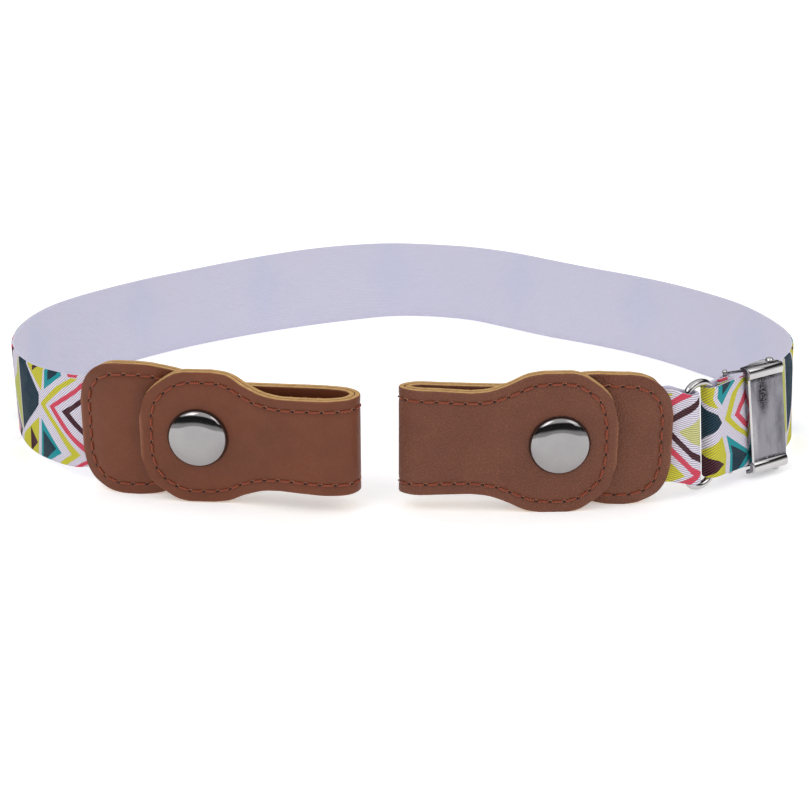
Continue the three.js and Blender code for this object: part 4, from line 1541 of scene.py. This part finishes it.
    def stitches(self, line: np.ndarray, thread: Material, hole: Sequence[Material]) -> None:
        """Adds the thread and the needle holes on both outward faces.

        Args:
            line: the needle holes' places.
            thread: the thread's material.
            hole: the materials of a hole's lip, thread painted paler as a highlight, and of its inside,
                painted shade.
        """
        threads, holes = bmesh.new(), bmesh.new()
        strand, lip = self.strand_mesh(), self.lip_mesh()
        twist = Matrix.Rotation(math.radians(self.strand_twist), 4, "Z")
        for face in (1, -1):
            for here, after in zip(line, np.roll(line, -1, axis=0)):
                for share in self.strands:
                    spot = here + (after - here) * share
                    middle, over = self.surface(face, *spot, self.thread_lift), self.surface(face, *spot, 1.0)
                    next_spot = spot + (after - here) * self.look_ahead
                    ahead = self.surface(face, *next_spot, self.thread_lift) - middle
                    turn = axes(ahead.normalized(), (over - middle).normalized()) @ twist
                    add_copy(threads, strand, Matrix.Translation(middle) @ turn)
                start, end = (self.surface(face, *spot, self.hole_lift) for spot in (here, after))
                out = (self.surface(face, *here, 1.0) - start).normalized()
                add_copy(holes, lip, Matrix.Translation(start) @ axes((end - start).normalized(), out))
        finish_piece(f"{self.name}_loop_thread", threads, [thread], Slot.LEATHER)
        finish_piece(f"{self.name}_loop_needle_holes", holes, hole, Slot.LEATHER)

    def strand_mesh(self) -> Mesh:
        """Shapes one swelling of the thread.

        Returns:
            Its mesh, with its length along x.
        """
        bm = bmesh.new()
        shape = Matrix.Diagonal((*self.strand_half, 1)) @ Matrix.Rotation(math.pi / 2, 4, "Y")
        bmesh.ops.create_uvsphere(bm, u_segments=6, v_segments=5, radius=1, matrix=shape)
        return mesh_of("strand", bm)

    def lip_mesh(self) -> Mesh:
        """Shapes one needle hole's raised lip, with painted shade on its caps for the dark inside.

        Returns:
            Its mesh.
        """
        bm = bmesh.new()
        low, high = self.hole_radii
        stretch = Matrix.Diagonal((self.hole_stretch, 1, 1, 1))
        made = bmesh.ops.create_cone(bm, cap_ends=True, segments=10, radius1=low, radius2=high,
                                     depth=self.hole_depth, matrix=stretch)
        # The caps take the second material: painted shade for the hole's inside.
        for cap in {f for vert in made["verts"] for f in vert.link_faces if len(f.verts) > 4}:
            cap.material_index = 1
        return mesh_of("needle_hole", bm)

    def seat(self, on_flap: bool, outward: int) -> Matrix:
        """Returns the axes of a snap part on the flap or on the base wall, in layout millimetres.

        Args:
            on_flap: whether it sits on the flap.
            outward: 1 where it faces away from the wearer.

        Returns:
            The part's axes, z away from the leather.
        """
        places = range(self.fold, len(self.middles)) if on_flap else range(self.fold)
        xs = [middle.x - self.snap_x for middle in self.middles]
        i = next(k for k in places if xs[k] * xs[k + 1] <= 0)
        before, after = self.middles[i], self.middles[i + 1]
        share = (self.snap_x - before.x) / (after.x - before.x)
        normal = self.normals[i].lerp(self.normals[i + 1], share).normalized()
        if normal.y * outward > 0:
            normal = -normal
        place = before.lerp(after, share) + normal * (self.spreads[i] + PLY_THICK / 2 + GAP)
        place.z = self.snap_z
        return Matrix.Translation(place) @ axes(normal.cross(UP), normal)

    def build(self, face: Material, edge: Material, thread: Material, hole: Sequence[Material]) -> None:
        """Builds the plies and the stitches.

        Args:
            face: the leather of both plies.
            edge: the cut edge.
            thread: the thread.
            hole: the lip, thread painted paler as a highlight, and the inside of a needle hole, painted
                shade.
        """
        line = self.stitch_line()
        self.ply(f"{self.name}_leather_face", 1, line, [face, edge], Slot.LEATHER)
        self.ply(f"{self.name}_leather_lining", -1, line, [face, edge], Slot.LINING)
        self.stitches(line, thread, hole)


# Snaps, ring and clasp

Profile = Sequence[tuple[float, float]]


def turn_profile(bm: BMesh, profile: Profile, matrix: Matrix, steps: int = 72) -> None:
    """Turns a profile round its axis into a closed shape.

    Args:
        bm: the mesh to add to.
        profile: rows of radius and height.
        matrix: where the shape goes.
        steps: faces round it.
    """
    line = [bm.verts.new((radius, 0.0, height)) for radius, height in profile]
    edges = [bm.edges.new(pair) for pair in zip(line, line[1:])]
    bmesh.ops.spin(bm, geom=[*line, *edges], cent=(0, 0, 0), axis=(0, 0, 1), angle=math.tau, steps=steps,
                   use_merge=True)
    close_up(bm)
    bmesh.ops.transform(bm, matrix=matrix, verts=bm.verts)


def rounded(profile: Profile, steps: int = 5) -> list[tuple[float, float]]:
    """Returns a smooth line through a profile's rows."""
    return [(max(float(row[0]), 0.0), float(row[1])) for row in smooth_rows(profile, steps)]


@dataclass
class Snap:
    """The four turned parts of one snap. Each profile is rows of radius and height above the leather."""

    loop: LeatherLoop
    foot: float = -0.28
    shade_ring: tuple[float, float] = (7.2, 7.58)
    shade_ring_top: float = 0.04
    cap: Profile = (
        (0.0, 2.5), (1.6, 2.45), (3.2, 2.3), (4.8, 2.0), (6.1, 1.52), (6.95, 1.02), (7.32, 0.55), (7.36, 0.2),
    )
    cap_rim: Profile = ((7.3, 0.0),)
    cap_foot_radius: float = 7.1
    socket: Profile = (
        (2.4, 0.7), (2.6, 0.8), (3.6, 0.8), (4.0, 0.62), (4.6, 0.62), (5.0, 0.78), (5.4, 0.76), (5.75, 0.5),
        (5.8, 0.2),
    )
    stud: Profile = (
        (0.0, 1.6), (1.2, 1.58), (1.7, 1.42), (1.9, 1.1), (1.75, 0.8), (1.62, 0.6), (2.0, 0.52), (4.3, 0.48),
        (4.55, 0.36), (4.6, 0.15),
    )
    back: Profile = ((0.0, 1.1), (1.8, 1.06), (3.4, 0.92), (4.4, 0.62), (4.8, 0.2))

    def standing(self, profile: Profile, reach: float, hollow: float = 0.0) -> list[tuple[float, float]]:
        """Returns a profile with its foot in the leather, from a reach in to the axis or to a hollow."""
        return [*profile, (reach, self.foot), (hollow, self.foot)]

    def turn(self, piece: str, profile: Profile, on_flap: bool, outward: int, finish: Material, slot: Slot,
             replaces: Sequence[str] = ()) -> None:
        """Turns one part.

        Args:
            piece: its name.
            profile: its profile.
            on_flap: whether it sits on the flap.
            outward: 1 where it faces away from the wearer.
            finish: its material.
            slot: the record's material slot.
            replaces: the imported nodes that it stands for.
        """
        bm = bmesh.new()
        turn_profile(bm, profile, self.loop.seat(on_flap, outward))
        finish_piece(piece, bm, [finish], slot, replaces)

    def build(self, nickel: Material, dark: Material) -> None:
        """Builds the four parts, and a ring of painted shade where the cap is pressed into the leather.

        Args:
            nickel: the parts' metal.
            dark: the painted shade's material.
        """
        hollow, low = self.socket[0]
        parts = (
            ("cap", self.standing([*rounded(self.cap), *self.cap_rim], self.cap_foot_radius), True, 1),
            ("socket", [*self.standing(self.socket, self.socket[-1][0], hollow), (hollow, low)], True, -1),
            ("stud", self.standing(self.stud, self.stud[-1][0]), False, 1),
            ("back", self.standing(rounded(self.back, 4), self.back[-1][0]), False, -1),
        )
        name = f"{self.loop.name}_snap"
        for part, profile, on_flap, outward in parts:
            node = f"{name}_{part}"
            self.turn(f"{node}_metal", profile, on_flap, outward, nickel, Slot.NICKEL, [node])
        # Painted shade: a thin dark ring round the cap's foot, where it meets the leather.
        inner, outer = self.shade_ring
        line = [(inner, self.shade_ring_top), (outer, self.shade_ring_top), (outer, self.foot), (inner, self.foot)]
        self.turn(f"{name}_cap_shade_ring", [line[-1], *line], True, 1, dark, Slot.LEATHER)


@dataclass
class OvalRing:
    """Closed wire ring with two straight bars."""

    wire: float = 1.0
    bar_half: float = 3.9
    half_height: float = 14.6
    end_height: float = 2.5
    columns: int = 120
    around: int = 18
    look_ahead: float = 0.002

    def centre(self, share: float) -> Vector:
        """Returns the wire's middle, in the ring's own axes.

        Args:
            share: the share of the way round.

        Returns:
            The point.
        """
        straight = 2 * (self.half_height - self.wire - self.end_height)
        bend = math.pi * self.bar_half
        along = (share % 1) * 2 * (straight + bend)
        half = along % (straight + bend)
        turn = 1 if along < straight + bend else -1
        angle = max(half - straight, 0) / self.bar_half
        up = min(half, straight) - straight / 2 + self.end_height * math.sin(angle)
        return Vector((turn * self.bar_half * math.cos(angle), 0, turn * up))

    def build(self, nickel: Material) -> None:
        """Builds the ring.

        Args:
            nickel: its metal.
        """
        out = Vector((0, 1, 0))
        matrix = RING_POSE.matrix()

        def place(i: int, j: int) -> Vector:
            """Places a corner.

            Args:
                i: its number round the ring.
                j: its number round the wire.

            Returns:
                Its place.
            """
            share = (i % self.columns) / self.columns
            run = (self.centre(share + self.look_ahead) - self.centre(share - self.look_ahead)).normalized()
            angle = math.tau * (j % self.around) / self.around
            side = run.cross(out)
            reach = side * math.cos(angle) + out * math.sin(angle)
            return matrix @ (self.centre(share) + reach * self.wire)

        bm = bmesh.new()
        lay_grid(bm, self.columns, self.around, place, lambda i, j: (float(i), float(j)), lambda i, j: 0)
        close_up(bm)
        finish_piece("oval_ring_wire", bm, [nickel], Slot.NICKEL, ["oval_ring"])


@dataclass
class Clasp:
    """Adjuster clasp: back frame with end bar, toothed lever and pivot rivets."""

    edge_round: float = 0.16
    same_corner: float = 2e-6
    flat_angle: float = 1.5
    sharp_angle: float = 28.0
    lever_half: float = 14.0
    lever_left: tuple[float, float] = (-9.3, 2.0)
    lever_right: tuple[float, float] = (2.5, 4.35)
    ridge_width: float = 3.1
    ridge_height: float = 0.9
    ridge_inset: float = 0.05
    ridge_round: float = 0.2
    ridge_short: float = 0.2
    lip_radius: float = 0.42
    pivot: tuple[float, float] = (0.6, 1.95)
    rivet_base: float = 14.15
    rivet_foot: float = 12.3
    rivet_dome: Profile = ((0.0, 0.95), (0.5, 0.88), (0.95, 0.62), (1.25, 0.18))
    shank: float = 0.5
    knob_height: float = 12.9
    knob_half: tuple[float, float, float] = (0.85, 0.75, 1.0)

    def softened(self, node: str) -> BMesh:
        """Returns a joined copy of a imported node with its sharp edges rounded, in metres.

        Args:
            node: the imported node.

        Returns:
            The copy.
        """
        bm = bmesh.new()
        bm.from_mesh(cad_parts[node].data)
        bmesh.ops.remove_doubles(bm, verts=bm.verts, dist=self.same_corner)
        flat, sharp = math.radians(self.flat_angle), math.radians(self.sharp_angle)
        bmesh.ops.dissolve_limit(bm, angle_limit=flat, verts=bm.verts, edges=bm.edges)
        edges = [edge for edge in bm.edges if len(edge.link_faces) == 2 and edge.calc_face_angle(0) > sharp]
        bevel_edges(bm, edges, self.edge_round * MM)
        return bm

    def rivet(self, end: int) -> BMesh:
        """Returns a domed rivet through a flange.

        Args:
            end: 1 for the upper one, -1 for the lower one.

        Returns:
            Its mesh.
        """
        bm = bmesh.new()
        foot = self.rivet_foot - self.rivet_base
        head = self.rivet_dome[-1][0]
        dome = rounded(self.rivet_dome, 4)
        profile = [*dome, (head, 0.0), (self.shank, 0.0), (self.shank, foot), (0.0, foot)]
        place = CLASP_POSE.axes_at(*self.pivot)
        if end < 0:
            place = place @ Matrix.Rotation(math.pi, 4, "X")
        turn_profile(bm, profile, place @ Matrix.Translation((0, 0, self.rivet_base)), 32)
        return bm

    def lever_ridges(self) -> BMesh:
        """Shapes the two rolled ridges along the lever's upper and lower edge, and the lip at its end.

        Returns:
            Their mesh.
        """
        bm = bmesh.new()
        (s0, n0), (s1, n1) = self.lever_left, self.lever_right
        length = math.hypot(s1 - s0, n1 - n0) - self.ridge_short
        slope = Matrix.Rotation(-math.atan2(n1 - n0, s1 - s0), 4, "Z")
        height = self.lever_half - self.ridge_width / 2 - self.ridge_inset
        shape = Matrix.Diagonal((length, self.ridge_height, self.ridge_width / 2, 1))
        lying = shape @ Matrix.Rotation(math.pi / 2, 4, "Y")
        for end in (1, -1):
            place = CLASP_POSE.axes_at((s0 + s1) / 2, (n0 + n1) / 2, end * height) @ slope
            made = bmesh.ops.create_cone(bm, cap_ends=True, segments=40, radius1=1, radius2=1, depth=1,
                                         matrix=place @ lying)
            rims = {edge for vert in made["verts"] for edge in vert.link_edges if edge.calc_face_angle(0) > 1}
            bevel_edges(bm, list(rims), self.ridge_round)
        lip, tall = self.lip_radius, 2 * (self.lever_half - self.ridge_width)
        bmesh.ops.create_cone(bm, cap_ends=True, segments=20, radius1=lip, radius2=lip, depth=tall,
                              matrix=CLASP_POSE.axes_at(s0 + lip, n0))
        return bm

    def bar_knobs(self) -> BMesh:
        """Shapes the two rounded ends of the end bar.

        Returns:
            Their mesh.
        """
        bm = bmesh.new()
        shape = Matrix.Diagonal((*self.knob_half, 1))
        for end in (1, -1):
            place = CLASP_POSE.axes_at(*BAR_PLACE, end * self.knob_height)
            bmesh.ops.create_uvsphere(bm, u_segments=20, v_segments=12, radius=1, matrix=place @ shape)
        return bm

    def build(self, polished: Material, clouded: Material) -> None:
        """Builds the clasp's pieces.

        Args:
            polished: the frame's, the ridges' and the rivets' metal, a lighter copy of the caps' nickel as
                painted highlight.
            clouded: the lever's metal, with its bands of painted light.
        """
        keep, nickel = Matrix.Identity(4), Slot.NICKEL
        back, plate = self.softened("clasp_back"), self.softened("clasp_lever")
        finish_piece("clasp_back_frame", back, [polished], nickel, ["clasp_back"], matrix=keep)
        finish_piece("clasp_lever_plate", plate, [clouded], nickel, ["clasp_lever"], Body.LEVER, matrix=keep)
        finish_piece("clasp_lever_ridges", self.lever_ridges(), [polished], nickel, body=Body.LEVER)
        finish_piece("clasp_end_bar_knobs", self.bar_knobs(), [polished], nickel)
        for end, word in ((1, "top"), (-1, "bottom")):
            node = f"clasp_rivet_{word}"
            finish_piece(f"{node}_head", self.rivet(end), [polished], nickel, [node])


# Studio

@dataclass(frozen=True)
class Lamp:
    """A square soft light. Its place and aim are in metres, and its power is in watts."""

    name: str
    place: tuple[float, float, float]
    power: float
    aim: tuple[float, float, float] = (0, -0.03, 0.01)
    size: float = 0.5

    def hang(self) -> None:
        """Adds the light to the scene."""
        light = bpy.data.lights.new(self.name, "AREA")
        light.shape = "SQUARE"
        light.size = self.size
        light.energy = self.power
        lamp = add_object(self.name, light)
        lamp.location = self.place
        lamp.rotation_euler = (Vector(self.aim) - Vector(self.place)).to_track_quat("-Z", "Y").to_euler()


@dataclass
class Studio:
    """Pale floor, soft lights and the camera."""

    camera_place: tuple[float, float, float] = (0.000735, -0.46983, 0.1743)
    camera_pitch: float = 20.5
    focal_pixels: float = 1717.0
    frame_pixels: float = 809.0
    sensor: float = 36.0
    clip: tuple[float, float] = (0.01, 100.0)
    floor_size: float = 30.0
    sky_strength: float = 0.87
    sky_greys: tuple[tuple[float, float], ...] = (
        (0.0, 0.75), (0.5, 0.7), (0.565, 0.6), (0.61, 0.04), (0.77, 0.02), (0.82, 1.0), (1.0, 1.0),
    )
    """Rows of height, from straight down at 0 to straight up at 1, and of the grey there."""
    lamps: tuple[Lamp, ...] = (Lamp("key", (-0.45, -0.5, 0.85), 1.6), Lamp("fill", (0.6, -0.35, 0.6), 0.8))

    def floor(self) -> None:
        """Lays the floor."""
        bm = bmesh.new()
        bmesh.ops.create_grid(bm, x_segments=1, y_segments=1, size=self.floor_size / 2)
        ground = add_object("floor", mesh_of("floor", bm))
        ground.data.materials.append(Floor().build())

    def sky(self) -> None:
        """Sets the soft surround: pale to the camera, with a darker band low down for metal to mirror."""
        world = bpy.data.worlds.new("studio")
        bpy.context.scene.world = world
        world.use_nodes = True
        sketch = NodeSketch(world.node_tree)
        _, _, height = sketch.parts(sketch.node("TexCoord", {}).outputs["Generated"])
        stops = [(share, (grey, grey, grey, 1.0)) for share, grey in self.sky_greys]
        banded = sketch.ramp(sketch.math("MULTIPLY_ADD", height, 0.5, 0.5), stops)
        glossy = sketch.node("LightPath", {}).outputs["Is Glossy Ray"]
        plain = sketch.math("SUBTRACT", 1.0, glossy)
        inputs = {"Color": sketch.mix(plain, banded, WHITE), "Strength": self.sky_strength}
        sketch.feed(world.node_tree.nodes["Background"], inputs)

    def camera(self) -> None:
        """Sets the camera at the photograph's angle."""
        lens = bpy.data.cameras.new("camera")
        lens.sensor_fit = "HORIZONTAL"
        lens.sensor_width = self.sensor
        lens.lens = self.sensor * self.focal_pixels / self.frame_pixels
        lens.clip_start, lens.clip_end = self.clip
        camera = add_object("camera", lens)
        camera.location = self.camera_place
        camera.rotation_euler = (math.radians(90 - self.camera_pitch), 0, 0)
        bpy.context.scene.camera = camera

    def build(self) -> None:
        """Builds the studio."""
        self.camera()
        self.floor()
        self.sky()
        for lamp in self.lamps:
            lamp.hang()
        view = bpy.context.scene.view_settings
        view.view_transform = "Standard"
        view.look = "None"


# The whole belt

# Painted light on the lever: dark bands for reflection and crease shade, a pale one for a highlight.
LEVER_PAINTED_BANDS = (
    PaintedBand(-4.4, 6.5, 2.8, 8.0, "151316", 1.0), PaintedBand(-7.9, -4.0, 1.6, 8.0, "c4c1c5", 0.4),
    PaintedBand(-3.4, 10.7, 9.0, 1.15, "0b0a0c", 1.0), PaintedBand(-3.4, -10.8, 9.0, 0.9, "0b0a0c", 1.0),
)


@dataclass
class Belt:
    """The whole belt."""

    def loops(self) -> tuple[LeatherLoop, LeatherLoop]:
        """Sizes the leather loops.

        Returns:
            The left and the right one.
        """
        left = LeatherLoop(
            "left", 1, snap_x=-51.1, snap_z=17.5,
            base_half=17.5, disc_half=17.2, neck_half=12.0, fold_half=12.5,
            path=(
                (-80.6, -142.9), (-74.6, -146.3), (-69.4, -147.8), (-61.8, -148.2), (-59.2, -148.2),
                (-56.6, -148.3), (-46.0, -148.6), (-38.0, -149.2), (-28.0, -150.6), (-18.4, -152.6),
                (-13.9, -154.5), (-12.1, -157.5), (-13.9, -160.6), (-18.4, -161.7), (-24.2, -160.9),
                (-31.0, -159.2), (-38.0, -156.7), (-42.9, -154.7), (-51.4, -153.9), (-58.5, -153.3),
                (-65.6, -152.8),
            ),
            heights=(17.3, *(17.5,) * 20),
            apart=(*(ROUND_STRAP,) * 4, 1.2, *(TOGETHER,) * 16),
        )
        right = LeatherLoop(
            "right", -1, snap_x=37.9, snap_z=17.9,
            base_half=17.2, disc_half=18.2, neck_half=13.0, fold_half=13.8,
            path=(
                (65.7, -152.5), (59.7, -153.6), (54.0, -154.0), (50.6, -154.0), (47.0, -154.0),
                (43.4, -154.0), (30.0, -154.2), (20.0, -154.6), (9.0, -155.0), (2.4, -155.3),
                (-0.1, -157.3), (2.4, -159.3), (9.0, -159.7), (20.0, -160.1), (30.0, -160.0),
                (37.9, -159.7), (45.4, -159.3), (52.2, -159.1),
            ),
            heights=(*(17.2,) * 3, 17.3, 17.5, 17.7, 18.0, *(18.2,) * 11),
            apart=(*(ROUND_DOUBLED,) * 4, 1.6, *(TOGETHER,) * 13),
        )
        return left, right

    def build(self) -> None:
        """Builds every piece in order."""
        left, right = self.loops()
        # dark is painted shade, for the insides of the needle holes and the rings round the snap caps.
        edge, thread, dark = CutEdge().build(), Thread().build(), PaintedHoleShade().build()
        # The lips at the needle holes: real thread loops, painted paler as a highlight.
        lip = Thread("thread_loops", "b87c5c", "83472f").build()
        smooth = Leather("left_leather", grain_depth=0.04).build()
        pebbled = Leather("right_leather", brown="754530", dark="6e3f2b", grain_depth=0.3, pit_share=0.32,
                          cells=1700.0).build()
        for loop, face in ((left, smooth), (right, pebbled)):
            loop.build(face, edge, thread, [lip, dark])
        ElasticStraps().build(right)
        polished = Nickel("polished_nickel_plate").build()
        # The lever's clouded nickel, with bands of painted reflection, highlight and shade.
        clouded = Nickel("clouded_nickel_plate", colour="89878d", shade="5d5b62", roughness=0.12,
                         cloudiness=0.14, patch_size=170.0, upright=0.35, dents=0.024,
                         painted_bands=LEVER_PAINTED_BANDS).build()
        # The ring and the clasp take a lighter copy of the caps' nickel: painted highlight.
        painted_bright = Nickel("bright_nickel_plate", colour="c9c6c6", shade="b9b6b7").build()
        for loop in (left, right):
            Snap(loop).build(polished, dark)
        OvalRing().build(painted_bright)
        Clasp().build(painted_bright, clouded)


def main() -> None:
    """Builds the belt and its studio."""
    logging.basicConfig(level=logging.INFO, format="%(name)s: %(message)s")
    Studio().build()
    Belt().build()
    log.info("boxes written")


if __name__ == "__main__":
    main()
